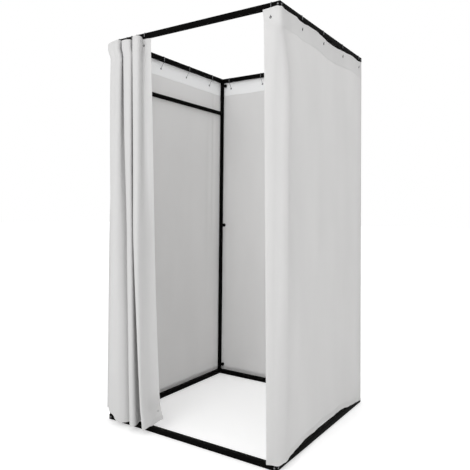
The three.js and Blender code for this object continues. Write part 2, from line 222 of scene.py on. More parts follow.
def clear_selection() -> None:
    """Deselects everything, so that the next operator acts on its own piece only."""
    bpy.ops.object.select_all(action="DESELECT")


def take(piece: bpy.types.Object) -> bpy.types.Object:
    """Makes a piece the only one selected, and the active one.

    Args:
        piece: The piece.

    Returns:
        The same piece.
    """
    clear_selection()
    piece.select_set(True)
    bpy.context.view_layer.objects.active = piece
    return piece


@contextmanager
def bench(piece: bpy.types.Object, element: str = "FACE") -> Iterator[bmesh.types.BMesh]:
    """Opens a piece in edit mode with nothing selected, and closes it afterwards.

    Args:
        piece: The piece to work on.
        element: What is selected in this mode: VERT, EDGE or FACE.

    Returns:
        The piece's edit mesh.
    """
    take(piece)
    bpy.ops.object.mode_set(mode="EDIT")
    bpy.ops.mesh.select_mode(type=element)
    bpy.ops.mesh.select_all(action="DESELECT")
    yield bmesh.from_edit_mesh(piece.data)
    bpy.ops.object.mode_set(mode="OBJECT")


def pick_edges(mesh: bmesh.types.BMesh, wanted: Callable[[bmesh.types.BMEdge], bool]) -> None:
    """Selects the edges for which a test is true, and no others.

    Args:
        mesh: An edit mesh.
        wanted: The test.
    """
    for edge in mesh.edges:
        edge.select_set(wanted(edge))
    mesh.select_flush_mode()


def close_up(piece: bpy.types.Object) -> None:
    """Merges a piece's doubled points, caps its open ends and turns its faces outwards.

    Args:
        piece: The piece.
    """
    with bench(piece, "VERT"):
        bpy.ops.mesh.select_all(action="SELECT")
        bpy.ops.mesh.remove_doubles(threshold=CLOSE)
        bpy.ops.mesh.fill_holes(sides=0)
        bpy.ops.mesh.normals_make_consistent(inside=False)


def finish_piece(piece: bpy.types.Object, smooth_angle: float = 35.0) -> bpy.types.Object:
    """Puts a piece's place into its mesh and smooths what is flatter than an angle.

    Args:
        piece: The piece.
        smooth_angle: The widest angle that is shaded smooth, in degrees.

    Returns:
        The same piece.
    """
    take(piece)
    bpy.ops.object.transform_apply(location=True, rotation=True, scale=True)
    bpy.ops.object.shade_smooth_by_angle(angle=math.radians(smooth_angle))
    return piece


def started(name: str) -> bpy.types.Object:
    """Names the primitive that was just added, and gives it back.

    Args:
        name: Its name.

    Returns:
        The primitive.
    """
    piece = bpy.context.view_layer.objects.active
    piece.name = name
    piece.data.name = name
    return piece


def placed(name: str, data: bpy.types.ID) -> bpy.types.Object:
    """Makes an object of a mesh, a camera or a lamp, and puts it in the scene.

    Args:
        name: The object's name.
        data: What it is made of.

    Returns:
        The object.
    """
    item = bpy.data.objects.new(name, data)
    bpy.context.scene.collection.objects.link(item)
    return item


def mapped(name: str, points: Sequence[Vector], faces: Sequence[tuple[int, ...]],
           cut: Sequence[Pair]) -> bpy.types.Object:
    """Makes a piece of cloth or thread from its points.

    Args:
        name: The piece's name.
        points: Its points.
        faces: Its faces, as numbers of points.
        cut: Where each point lies on the flat cut, in metres.

    Returns:
        The piece, with the map of its flat cut.
    """
    mesh = bpy.data.meshes.new(name)
    mesh.from_pydata(points, [], faces)
    layer = mesh.uv_layers.new(name="cut")
    for loop in mesh.loops:
        layer.data[loop.index].uv = cut[loop.vertex_index]
    return placed(name, mesh)


def modified(piece: bpy.types.Object, kind: str, **settings: object) -> None:
    """Adds a modifier to a piece and applies it.

    Args:
        piece: The piece.
        kind: Blender's name for the modifier's type.
        settings: The modifier's own settings.
    """
    take(piece)
    modifier = piece.modifiers.new(kind.lower(), kind)
    for setting, value in settings.items():
        setattr(modifier, setting, value)
    bpy.ops.object.modifier_apply(modifier=modifier.name)


def turned(name: str, profile: Sequence[Pair], sides: int) -> bpy.types.Object:
    """Turns a round piece about Z, ring by ring.

    Args:
        name: The piece's name.
        profile: Its rings as (radius, height). A last ring equal to the first makes a tube.
        sides: How many sides the rings have.

    Returns:
        The closed piece, with its axis on Z.
    """
    radius, height = profile[0]
    clear_selection()
    bpy.ops.mesh.primitive_circle_add(vertices=sides, radius=radius, location=(0, 0, height))
    piece = started(name)
    with bench(piece, "VERT"):
        bpy.ops.mesh.select_all(action="SELECT")
        for (near, low), (far, high) in zip(profile, profile[1:]):
            bpy.ops.mesh.extrude_region_move(TRANSFORM_OT_translate={"value": (0, 0, high - low)})
            ratio = far / near
            bpy.ops.transform.resize(value=(ratio, ratio, 1), center_override=(0, 0, high))
    close_up(piece)
    return finish_piece(piece)


def copied(model: bpy.types.Object, name: str, place: Matrix) -> bpy.types.Object:
    """Copies a finished piece, with a mesh of its own, to a place.

    Args:
        model: The piece to copy.
        name: The copy's name.
        place: Where the copy goes, as a rigid move of the model.

    Returns:
        The copy, at the origin, with its place in its mesh.
    """
    mesh = model.data.copy()
    mesh.name = name
    mesh.transform(place)
    return placed(name, mesh)


def scrap(*pieces: bpy.types.Object) -> None:
    """Removes models and cutters that have done their work."""
    for piece in pieces:
        bpy.data.objects.remove(piece, do_unlink=True)


def bent_wire(name: str, radius: float, legs: Sequence[Pair], bend: float, sides: int) -> bpy.types.Object:
    """Draws a round wire in the YZ plane, as it is bent over a pin.

    Args:
        name: The piece's name.
        radius: The wire's radius.
        legs: The corners of its line as (y, z), from end to end.
        bend: The radius of the line at each corner, less where a leg is too short for it.
        sides: How many sides the wire has.

    Returns:
        The closed wire.
    """
    line = rounded_line(legs, bend, 5)
    first = (line[1] - line[0]).normalized()
    upright = first.to_track_quat("Z", "X").to_euler()
    clear_selection()
    bpy.ops.mesh.primitive_circle_add(vertices=sides, radius=radius, location=line[0], rotation=upright)
    piece = started(name)
    with bench(piece, "VERT"):
        bpy.ops.mesh.select_all(action="SELECT")
        heading = first
        for here, there in zip(line, line[1:]):
            ahead = (there - here).normalized()
            turn = math.atan2(heading.cross(ahead).x, heading.dot(ahead))
            if abs(turn) > CLOSE:
                bpy.ops.mesh.spin(steps=1, angle=turn, center=here, axis=(1, 0, 0))
            bpy.ops.mesh.extrude_region_move(TRANSFORM_OT_translate={"value": there - here})
            heading = ahead
    close_up(piece)
    return finish_piece(piece, 60)


def rounded_line(corners: Sequence[Pair], bend: float, steps: int) -> list[Vector]:
    """Rounds the corners of a line in the YZ plane.

    Args:
        corners: The line's corners as (y, z).
        bend: The radius at each corner.
        steps: How many short runs make each rounded corner.

    Returns:
        The points of the rounded line.
    """
    points = [Vector((0, y, z)) for y, z in corners]
    line = [points[0]]
    for before, corner, after in zip(points, points[1:], points[2:]):
        back, ahead = (before - corner), (after - corner)
        reach = min(bend, back.length * 0.45, ahead.length * 0.45)
        start = corner + back.normalized() * reach
        end = corner + ahead.normalized() * reach
        for step in range(steps + 1):
            share = step / steps
            line.append(start.lerp(corner, share).lerp(corner.lerp(end, share), share))
    return [*line, points[-1]]


# --------------------------------------------------------------------------- finishes


class Board:
    """A node tree, with short calls to add nodes to it and join them."""

    def __init__(self, tree: bpy.types.NodeTree) -> None:
        """Keeps the tree to work on.

        Args:
            tree: A material's or a group's node tree.
        """
        self.tree = tree

    def add(self, kind: str, values: dict | None = None, **settings: object) -> bpy.types.Node:
        """Adds a node.

        Args:
            kind: Blender's name for the node's type.
            values: Numbers or colours for its inputs, by the input's name or number.
            settings: The node's own settings.

        Returns:
            The node.
        """
        node = self.tree.nodes.new(kind)
        for setting, value in settings.items():
            setattr(node, setting, value)
        for socket, value in (values or {}).items():
            node.inputs[socket].default_value = value
        return node

    def join(self, source: bpy.types.NodeSocket, target: bpy.types.NodeSocket) -> None:
        """Joins an output to an input."""
        self.tree.links.new(source, target)

    def sum(self, kind: str, first: object, second: object) -> bpy.types.NodeSocket:
        """Adds a maths node.

        Args:
            kind: The operation, such as MULTIPLY.
            first: A number, or the output that feeds the first input.
            second: A number, or the output that feeds the second input.

        Returns:
            The node's output.
        """
        node = self.add("ShaderNodeMath", operation=kind)
        for socket, value in zip(node.inputs, (first, second)):
            if isinstance(value, bpy.types.NodeSocket):
                self.join(value, socket)
            else:
                socket.default_value = value
        return node.outputs[0]

    def noise(self, place: bpy.types.NodeSocket, scale: float, detail: float = 3.0) -> bpy.types.NodeSocket:
        """Adds a noise texture.

        Args:
            place: The coordinates that it reads.
            scale: How many blotches there are to a metre.
            detail: How many finer layers it has.

        Returns:
            Its strength, from 0 to 1.
        """
        node = self.add("ShaderNodeTexNoise", {"Scale": scale, "Detail": detail})
        self.join(place, node.inputs["Vector"])
        return node.outputs["Fac"]

    def ramp(self, strength: bpy.types.NodeSocket, stops: Sequence[tuple[float, Colour]]) -> bpy.types.NodeSocket:
        """Adds a colour ramp.

        Args:
            strength: What drives it.
            stops: Its colours as (place, colour), in order.

        Returns:
            Its colour.
        """
        node = self.add("ShaderNodeValToRGB")
        marks = node.color_ramp.elements
        while len(marks) < len(stops):
            marks.new(0.5)
        for mark, (place, colour) in zip(marks, stops):
            mark.position = place
            mark.color = (*colour, 1)
        self.join(strength, node.inputs["Fac"])
        return node.outputs["Color"]

    def spread(self, strength: bpy.types.NodeSocket, low: float, high: float) -> bpy.types.NodeSocket:
        """Stretches a strength of 0 to 1 over a range.

        Args:
            strength: What is stretched.
            low: What 0 becomes.
            high: What 1 becomes.

        Returns:
            The stretched value.
        """
        node = self.add("ShaderNodeMapRange", {"To Min": low, "To Max": high})
        self.join(strength, node.inputs["Value"])
        return node.outputs["Result"]

    def scaled(self, place: bpy.types.NodeSocket, factors: tuple[float, float, float]) -> bpy.types.NodeSocket:
        """Multiplies coordinates, axis by axis.

        Args:
            place: The coordinates.
            factors: What X, Y and Z are multiplied by.

        Returns:
            The new coordinates.
        """
        node = self.add("ShaderNodeVectorMath", {1: factors}, operation="MULTIPLY")
        self.join(place, node.inputs[0])
        return node.outputs["Vector"]

    def tinted(self, mask: bpy.types.NodeSocket, base: bpy.types.NodeSocket, colour: Colour) -> bpy.types.NodeSocket:
        """Lays an even colour over another one where a mask is bright.

        Args:
            mask: Where the even colour lies, from 0 to 1.
            base: The colour below.
            colour: The even colour.

        Returns:
            The mixed colour.
        """
        node = self.add("ShaderNodeMix", {7: (*colour, 1)}, data_type="RGBA")
        self.join(mask, node.inputs["Factor"])
        self.join(base, node.inputs[6])
        return node.outputs[2]


def new_material(name: str, constants: dict[str, object]) -> tuple[bpy.types.Material, Board, bpy.types.Node]:
    """Starts a material with a Principled shader.

    Args:
        name: The material's name.
        constants: Values for the shader's own sockets that are the same all over.

    Returns:
        The material, the board of its nodes and its shader node.
    """
    material = bpy.data.materials.new(name)
    material.use_nodes = True
    shader = material.node_tree.nodes["Principled BSDF"]
    for socket, value in constants.items():
        shader.inputs[socket].default_value = value
    return material, Board(material.node_tree), shader


def new_group(name: str, inputs: dict[str, float | None], outputs: Sequence[str]) -> tuple[Board, dict, dict]:
    """Starts a shader node group.

    Args:
        name: The group's name.
        inputs: Its inputs with their usual values. None marks a vector.
        outputs: The names of its outputs, all of them values.

    Returns:
        The board to build it on, its input sockets by name and its output sockets by name.
    """
    tree = bpy.data.node_groups.new(name, "ShaderNodeTree")
    for label, value in inputs.items():
        kind = "NodeSocketVector" if value is None else "NodeSocketFloat"
        socket = tree.interface.new_socket(label, in_out="INPUT", socket_type=kind)
        if value is not None:
            socket.default_value = value
    for label in outputs:
        tree.interface.new_socket(label, in_out="OUTPUT", socket_type="NodeSocketFloat")
    board = Board(tree)
    entry = board.add("NodeGroupInput")
    leave = board.add("NodeGroupOutput")
    return board, {s.name: s for s in entry.outputs}, {s.name: s for s in leave.inputs}


def grain_group() -> bpy.types.NodeTree:
    """Builds the skin that sprayed and moulded pieces share: fine bumps with slow patches.

    Returns:
        A group from Place, Pitch and Patches to Height and Shade.
    """
    board, given, result = new_group(
        "surface_grain", {"Place": None, "Pitch": 900.0, "Patches": 14.0}, ("Height", "Shade")
    )
    fine = board.add("ShaderNodeTexNoise", {"Detail": 2.0, "Roughness": 0.45})
    board.join(given["Place"], fine.inputs["Vector"])
    board.join(given["Pitch"], fine.inputs["Scale"])
    slow = board.add("ShaderNodeTexNoise", {"Detail": 4.0, "Roughness": 0.6})
    board.join(given["Place"], slow.inputs["Vector"])
    board.join(given["Patches"], slow.inputs["Scale"])
    board.join(fine.outputs["Fac"], result["Height"])
    board.join(board.sum("ADD", board.sum("MULTIPLY", slow.outputs["Fac"], 0.7),
                         board.sum("MULTIPLY", fine.outputs["Fac"], 0.3)), result["Shade"])
    return board.tree


def rub_group() -> bpy.types.NodeTree:
    """Builds the marks of use that frame and fittings share: dust that lies on what faces up,
    and thin scuffs along the length.

    Returns:
        A group from Place, Dust and Scuffs to Dust and Scuff.
    """
    board, given, result = new_group(
        "marks_of_use", {"Place": None, "Dust": 0.4, "Scuffs": 0.3}, ("Dust", "Scuff")
    )
    facing = board.add("ShaderNodeNewGeometry")
    split = board.add("ShaderNodeSeparateXYZ")
    board.join(facing.outputs["Normal"], split.inputs["Vector"])
    upward = board.sum("MAXIMUM", split.outputs["Z"], 0.0)
    specks = board.spread(board.noise(given["Place"], 90.0, 6.0), -0.6, 1.6)
    lying = board.sum("MULTIPLY", upward, board.sum("MAXIMUM", specks, 0.0))
    board.join(board.sum("MULTIPLY", lying, given["Dust"]), result["Dust"])
    streak = board.add("ShaderNodeTexNoise", {"Scale": 1.0, "Detail": 5.0, "Distortion": 0.4})
    board.join(board.scaled(given["Place"], (35.0, 35.0, 420.0)), streak.inputs["Vector"])
    scratch = board.add("ShaderNodeMapRange", {"From Min": 0.66, "From Max": 0.74})
    board.join(streak.outputs["Fac"], scratch.inputs["Value"])
    board.join(board.sum("MULTIPLY", scratch.outputs["Result"], given["Scuffs"]), result["Scuff"])
    return board.tree


def weave_group() -> bpy.types.NodeTree:
    """Builds the plain weave that all the cloth shares, with uneven threads.

    Returns:
        A group from Place, Threads and Slub to Height and Shade.
    """
    board, given, result = new_group(
        "plain_weave", {"Place": None, "Threads": 1400.0, "Slub": 0.5}, ("Height", "Shade")
    )
    split = board.add("ShaderNodeSeparateXYZ")
    board.join(given["Place"], split.inputs["Vector"])
    waves = []
    for axis in ("X", "Y"):
        along = board.sum("MULTIPLY", board.sum("MULTIPLY", split.outputs[axis], given["Threads"]), math.tau)
        waves.append(board.sum("SINE", along, 0.0))
    crossing = board.sum("MULTIPLY", waves[0], waves[1])
    slub = board.noise(board.scaled(given["Place"], (60.0, 900.0, 60.0)), 1.0)
    thick = board.sum("MULTIPLY", board.sum("SUBTRACT", slub, 0.5), given["Slub"])
    board.join(board.sum("ADD", board.spread(crossing, 0.35, 0.65), thick), result["Height"])
    board.join(board.sum("ADD", board.sum("MULTIPLY", thick, 0.8), 0.5), result["Shade"])
    return board.tree


@dataclass(frozen=True)
class Finish:
    """What the finishes share: a name, the slot that it fills, and ways to lay its effects."""

    name: str
    slot: str

    @staticmethod
    def bump(board: Board, shader: bpy.types.Node, layers: Sequence[tuple[bpy.types.NodeSocket, float, float]]) -> None:
        """Lays one bump over another and feeds them to the shader.

        Args:
            board: The material's board.
            shader: The material's shader.
            layers: Each height with its strength and its depth in metres.
        """
        below = None
        for height, strength, depth in layers:
            node = board.add("ShaderNodeBump", {"Strength": strength, "Distance": depth})
            board.join(height, node.inputs["Height"])
            if below is not None:
                board.join(below, node.inputs["Normal"])
            below = node.outputs["Normal"]
        board.join(below, shader.inputs["Normal"])

    @staticmethod
    def placed_group(board: Board, tree: bpy.types.NodeTree, place: bpy.types.NodeSocket,
                     values: dict[str, float]) -> bpy.types.Node:
        """Puts a shared group on a board.

        Args:
            board: The material's board.
            tree: The group.
            place: The coordinates that it reads.
            values: Its own values in this material.

        Returns:
            The group's node.
        """
        node = board.add("ShaderNodeGroup", node_tree=tree)
        board.join(place, node.inputs["Place"])
        for label, value in values.items():
            node.inputs[label].default_value = value
        return node


@dataclass(frozen=True)
class HardFinish(Finish):
    """A finish of the frame and its fittings: a skin with grain, some dust and a few scuffs."""

    dark: Colour
    light: Colour
    scuffed: Colour
    roughness: Pair
    specular: float = 0.5
    metal: float = 0.0
    coat: float = 0.0
    pitch: float = 900.0
    patches: float = 14.0
    grain_depth: float = 0.00004
    dust: float = 0.3
    dust_colour: Colour = (0.34, 0.33, 0.31)
    scuffs: float = 0.25

    def build(self, grain: bpy.types.NodeTree, rub: bpy.types.NodeTree) -> bpy.types.Material:
        """Builds the material.

        Args:
            grain: The shared grain group.
            rub: The shared marks of use group.

        Returns:
            The material.
        """
        material, board, shader = new_material(self.name, {
            "Metallic": self.metal, "Coat Weight": self.coat, "Coat Roughness": 0.2,
            "Specular IOR Level": self.specular,
        })
        place = board.add("ShaderNodeTexCoord").outputs["Object"]
        skin = self.placed_group(board, grain, place, {"Pitch": self.pitch, "Patches": self.patches})
        marks = self.placed_group(board, rub, place, {"Dust": self.dust, "Scuffs": self.scuffs})
        base = board.ramp(skin.outputs["Shade"], ((0.3, self.dark), (0.7, self.light)))
        worn = board.tinted(marks.outputs["Scuff"], base, self.scuffed)
        board.join(board.tinted(marks.outputs["Dust"], worn, self.dust_colour), shader.inputs["Base Color"])
        rough = board.spread(skin.outputs["Shade"], *self.roughness)
        dull = board.sum("MULTIPLY", marks.outputs["Dust"], 0.3)
        board.join(board.sum("ADD", rough, dull), shader.inputs["Roughness"])
        self.bump(board, shader, [(skin.outputs["Height"], 0.35, self.grain_depth)])
        return material


@dataclass(frozen=True)
class ClothFinish(Finish):
    """Thin woven polyester: a plain weave, slow shade changes and soft crumples, and a painted glow where lift is above
    0.
    """

    deep: Colour
    pale: Colour
    roughness: Pair = (0.78, 0.92)
    sheen: float = 0.12
    threads: float = 1500.0
    crumple: float = 0.0011
    through: float = 0.45
    # Emission strength of the cloth: painted light, a white glow that brightens the cloth though it is no lamp.
    lift: float = 0.0

    def build(self, weave: bpy.types.NodeTree) -> bpy.types.Material:
        """Builds the material. It reads the map of the cloth's flat cut, in metres.

        Args:
            weave: The shared weave group.

        Returns:
            The material.
        """
        material, board, shader = new_material(self.name, {
            "Sheen Weight": self.sheen, "Sheen Roughness": 0.5, "Specular IOR Level": 0.2,
            # Painted light: the cloth glows by its lift.
            "Emission Strength": self.lift,
        })
        place = board.add("ShaderNodeUVMap", uv_map="cut").outputs["UV"]
        threads = self.placed_group(board, weave, place, {"Threads": self.threads, "Slub": 0.5})
        slow = board.sum("MULTIPLY", board.noise(board.scaled(place, (3.4, 0.9, 1.0)), 1.6), 0.75)
        shade = board.sum("ADD", slow, board.sum("MULTIPLY", threads.outputs["Shade"], 0.25))
        colour = board.ramp(shade, ((0.3, self.deep), (0.7, self.pale)))
        board.join(colour, shader.inputs["Base Color"])
        board.join(board.spread(threads.outputs["Shade"], *self.roughness), shader.inputs["Roughness"])
        crumples = board.noise(board.scaled(place, (9.0, 3.0, 1.0)), 1.0, 2.5)
        self.bump(board, shader, [
            (crumples, 0.5, self.crumple * 6),
            (threads.outputs["Height"], 0.2, 0.00012),
        ])
        glow = board.add("ShaderNodeBsdfTranslucent")
        board.join(colour, glow.inputs["Color"])
        blend = board.add("ShaderNodeMixShader", {"Fac": self.through})
        board.join(shader.outputs["BSDF"], blend.inputs[1])
        board.join(glow.outputs["BSDF"], blend.inputs[2])
        board.join(blend.outputs["Shader"], material.node_tree.nodes["Material Output"].inputs["Surface"])
        return material


def grey(level: float, warmth: float = 0.0) -> Colour:
    """A grey of a linear level, a little warm or, below 0, a little cool."""
    return (level * (1 + warmth), level, level * (1 - warmth))


@dataclass(frozen=True)
class FinishChart:
    """Every finish of the room, and the materials once they are built."""

    powder: HardFinish = HardFinish(
        "black_powder_coat", "frame_black", grey(0.0018, 0.05), grey(0.0034, 0.05), grey(0.03), (0.45, 0.58),
        specular=0.015, pitch=1100.0, dust=0.02, scuffs=0.1,
    )
    moulding: HardFinish = HardFinish(
        "black_nylon", "connector_black", grey(0.0022), grey(0.004), grey(0.03), (0.5, 0.64),
        specular=0.03, pitch=1800.0, dust=0.02, scuffs=0.08,
    )
    grip: HardFinish = HardFinish(
        "black_grip_moulding", "knob_black", grey(0.0022), grey(0.0042), grey(0.03), (0.5, 0.68),
        specular=0.06, pitch=2600.0, grain_depth=0.00006, dust=0.03, scuffs=0.08,
    )
    wire: HardFinish = HardFinish(
        "bright_wire", "hook_wire", grey(0.18), grey(0.26, -0.02), grey(0.12), (0.24, 0.4),
        metal=1.0, pitch=2400.0, patches=60.0, grain_depth=0.00001, dust=0.05, scuffs=0.5,
    )
    plate: HardFinish = HardFinish(
        "black_nickel", "hook_wire", grey(0.008), grey(0.016), grey(0.12), (0.34, 0.5),
        specular=0.3, pitch=2400.0, patches=60.0, grain_depth=0.00001, dust=0.02, scuffs=0.2,
    )
    stud: HardFinish = HardFinish(
        "satin_nickel", "hook_wire", grey(0.46), grey(0.52), grey(0.3), (0.4, 0.55),
        pitch=2400.0, patches=60.0, grain_depth=0.00001, dust=0.02, scuffs=0.2,
    )
    cloth: ClothFinish = ClothFinish("room_cloth", "cloth", grey(0.828, 0.004), grey(0.868, 0.004))
    curtain: ClothFinish = ClothFinish("curtain_cloth", "cloth", grey(0.685, 0.004), grey(0.72, 0.004), through=0.15)
    # The header tape's pale base is partly the white of the tape and partly painted light for the band lit inside the
    # top of the room; its lift is a painted glow.
    tape: ClothFinish = ClothFinish(
        "header_tape", "cloth", grey(0.95, -0.004), grey(0.97, -0.004), threads=1100.0, through=0.3, lift=0.075,
    )
    thread: ClothFinish = ClothFinish("sewing_thread", "cloth", grey(0.83), grey(0.88), threads=3000.0)
    built: dict[str, bpy.types.Material] = field(default_factory=dict)

    def build(self) -> None:
        """Builds the shared groups once, and every material from them."""
        grain, rub, weave = grain_group(), rub_group(), weave_group()
        for finish in (self.powder, self.moulding, self.grip, self.wire, self.plate, self.stud):
            self.built[finish.name] = finish.build(grain, rub)
        for finish in (self.cloth, self.curtain, self.tape, self.thread):
            self.built[finish.name] = finish.build(weave)

    def dress(self, piece: bpy.types.Object, finish: Finish) -> None:
        """Gives a piece a finish in place of any material it has.

        Args:
            piece: The piece.
            finish: Its finish.
        """
        piece.data.materials.clear()
        piece.data.materials.append(self.built[finish.name])


# --------------------------------------------------------------------------- frame


@dataclass
class SubAssembly:
    """What every part of the room shares: the frame's sizes and the finishes."""

    sizes: RoomSizes
    finishes: FinishChart

    def keep(self, piece: bpy.types.Object, finish: Finish, body: str | None = None) -> bpy.types.Object:
        """Finishes a piece, rides it on its body and reports it.

        Args:
            piece: The piece.
            finish: Its finish.
            body: The body that carries it, or None to leave it on no body.

        Returns:
            The same piece.
        """
        self.finishes.dress(piece, finish)
        if body is not None:
            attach(piece, body)
        LOG.info("%s: %d faces", piece.name, len(piece.data.polygons))
        return piece


@dataclass
class RailFrame(SubAssembly):
    """The eight square rails and the eight corner blocks with their rivets."""

    edge_radius: float = 0.003
    edge_steps: int = 3
    rivet_radius: float = 0.0042
    rivet_rise: float = 0.0016
    rivet_sink: float = 0.0004

    def build(self) -> None:
        """Replaces the rails by smooth-edged ones and dresses the corner blocks."""
        for level in ("bottom", "top"):
            for side in Side:
                self.rail(f"{level}_rail_{side.name.lower()}")
            for post in Post:
                self.corner(level, post)

    def rail(self, node: str) -> None:
        """Builds one rail: a square bar with rolled edges.

        Args:
            node: The rail's CAD node, which gives its place and takes its place in physics.
        """
        low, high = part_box(node)
        clear_selection()
        bpy.ops.mesh.primitive_cube_add(size=1, location=(low + high) / 2, scale=high - low)
        bar = started(f"{node}_bar")
        bpy.ops.object.transform_apply(location=True, rotation=True, scale=True)
        run = max(high - low)
        with bench(bar, "EDGE") as mesh:
            pick_edges(mesh, lambda edge: edge.calc_length() > run * 0.9)
            bpy.ops.mesh.bevel(offset=self.edge_radius, segments=self.edge_steps, affect="EDGES")
        finish_piece(bar)
        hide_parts(node)
        self.keep(bar, self.finishes.powder, "frame")

    def corner(self, level: str, post: Post) -> None:
        """Dresses one corner block and sets a rivet in each of its two outer faces.

        Args:
            level: bottom or top.
            post: The corner.
        """
        node = frame["nodes"][f"{level}_corner_{post.label}"]
        self.finishes.dress(node, self.finishes.moulding)
        height = self.sizes.rail / 2 if level == "bottom" else self.sizes.rail_middle
        sides = (Side.RIGHT if post.value[0] > 0 else Side.LEFT, Side.BACK if post.value[1] > 0 else Side.FRONT)
        for side in sides:
            rivet = self.rivet(f"{level}_rivet_{post.label}_{side.name.lower()}")
            face = Matrix.Translation((0, self.sizes.rail / 2, 0)) @ Matrix.Rotation(-math.pi / 2, 4, "X")
            rivet.data.transform(Matrix.Translation(post.place(self.sizes, height)) @ side.turn @ face)
            self.keep(rivet, self.finishes.wire, "frame")

    def rivet(self, name: str) -> bpy.types.Object:
        """Builds a low domed rivet that stands on the XY plane, facing +Z.

        Args:
            name: The rivet's name.

        Returns:
            The rivet.
        """
        rise, radius, sink = self.rivet_rise, self.rivet_radius, self.rivet_sink
        profile = [(radius * 0.8, -sink), (radius, -sink), (radius, rise * 0.25)]
        profile += [(radius * math.cos(a), rise * (0.25 + 0.75 * math.sin(a))) for a in (0.35, 0.7, 1.05, 1.35)]
        return turned(name, profile, 20)


@dataclass
class UprightTubes(SubAssembly):
    """The four uprights, each a lower tube with a drawn-in neck inside an upper tube."""

    def build(self) -> None:
        """Replaces the eight tube halves by smooth ones."""
        sizes = self.sizes
        foot = sizes.rail + sizes.fit_gap
        head = sizes.height - sizes.rail - sizes.fit_gap
        lower = turned("lower_tube", self.lower_profile(foot), TUBE_SIDES)
        upper = turned("upper_tube", sizes.tube_profile(sizes.upright_joint + sizes.fit_gap, head), TUBE_SIDES)
        for post in Post:
            for half, model in (("lower", lower), ("upper", upper)):
                node = f"upright_{half}_{post.label}"
                tube = copied(model, f"{node}_tube", Matrix.Translation(post.place(sizes)))
                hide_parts(node)
                self.keep(tube, self.finishes.powder, "frame")
        scrap(lower, upper)

    def lower_profile(self, foot: float) -> list[Pair]:
        """The closed profile of a lower tube, whose neck goes up inside the upper tube.

        Args:
            foot: The height of its lower end.

        Returns:
            Its rings as (radius, height).
        """
        sizes = self.sizes
        bore, outer, rim, joint = sizes.tube_bore, sizes.tube_radius, sizes.tube_rim, sizes.upright_joint
        neck = bore - sizes.fit_gap
        inside = neck - sizes.tube_wall
        top = joint + sizes.neck
        return [
            (bore, foot), (outer - rim, foot), (outer, foot + rim), (outer, joint - rim * 2),
            (outer - rim, joint - rim / 2), (neck, joint), (neck, top), (inside, top),
            (inside, joint - sizes.tube_wall * 2), (bore, joint - sizes.tube_wall * 4), (bore, foot),
        ]


@dataclass
class GarmentRail(SubAssembly):
    """The round rail for clothes hangers along the left side, with its two brackets."""

    drop: float = 0.236
    shoulder: float = 0.018

    def build(self) -> None:
        """Replaces the rail by a smooth one and dresses the brackets."""
        sizes = self.sizes
        end = sizes.post - self.shoulder - sizes.fit_gap
        rail = turned("garment_rail_tube", sizes.tube_profile(-end, end), TUBE_SIDES)
        middle = Vector((-sizes.post, sizes.setback, sizes.height - self.drop))
        rail.data.transform(Matrix.Translation(middle) @ Matrix.Rotation(math.pi / 2, 4, "X"))
        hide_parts("garment_rail")
        self.keep(rail, self.finishes.powder, "frame")
        for where in ("front", "back"):
            self.finishes.dress(frame["nodes"][f"garment_bracket_{where}"], self.finishes.powder)


@dataclass
class ThumbScrews(SubAssembly):
    """The twelve thumb screws, three on each upright, with lobed grips."""

    radius: float = 0.011
    lobes: int = 8
    lobe_depth: float = 0.0016
    grip: float = 0.012
    neck_radius: float = 0.006
    neck: float = 0.006
    stud_radius: float = 0.0025
    heights: tuple[tuple[str, float], ...] = (("low", 0.060), ("middle", 1.000), ("high", 1.954))

    def build(self) -> None:
        """Builds one thumb screw and sets a copy of it at each place."""
        model = self.screw("thumb_screw")
        for post in Post:
            for level, height in self.heights:
                node = f"knob_{level}_{post.label}"
                place = Matrix.Translation(post.place(self.sizes, height)) @ self.inward(post)
                knob = copied(model, f"{node}_grip", place)
                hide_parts(node)
                self.keep(knob, self.finishes.grip, node)
        scrap(model)

    @staticmethod
    def inward(post: Post) -> Matrix:
        """The turn that points a screw made along +Z into the room at an upright.

        Args:
            post: The upright.

        Returns:
            The rotation.
        """
        along, across = post.value
        heading = Vector((0, 1, 0)) if across < 0 else Vector((-along, 0, 0))
        return heading.to_track_quat("Z", "Y").to_matrix().to_4x4()

    def screw(self, name: str) -> bpy.types.Object:
        """Builds a thumb screw along +Z, with the upright's middle at the origin.

        Args:
            name: The piece's name.

        Returns:
            The screw: its stud, its neck and its grip with rounded lobes and a dished cap.
        """
        start = self.sizes.tube_bore
        foot = self.sizes.tube_radius + self.sizes.fit_gap
        under = foot + self.neck
        top = under + self.grip
        edge, outer = 0.0011, self.radius
        screw = turned(name, [
            (self.stud_radius, start), (self.stud_radius, foot), (self.neck_radius * 0.92, foot),
            (self.neck_radius, foot + 0.0005), (self.neck_radius * 0.9, under),
            (outer * 0.86, under), (outer - edge * 0.3, under + edge * 0.3), (outer, under + edge),
            (outer, under + self.grip / 2), (outer, top - edge), (outer - edge * 0.3, top - edge * 0.3),
            (outer - edge, top), (outer * 0.66, top), (outer * 0.62, top - 0.0006), (outer * 0.2, top - 0.0008),
        ], self.lobes * 8)
        for vert in screw.data.vertices:
            reach = math.hypot(vert.co.x, vert.co.y)
            if reach > outer * 0.8 and vert.co.z >= under - CLOSE:
                angle = math.atan2(vert.co.y, vert.co.x) * self.lobes
                pull = self.lobe_depth * (0.5 - 0.5 * math.cos(angle)) ** 1.6
                vert.co.x *= (reach - pull) / reach
                vert.co.y *= (reach - pull) / reach
        return finish_piece(screw, 40)


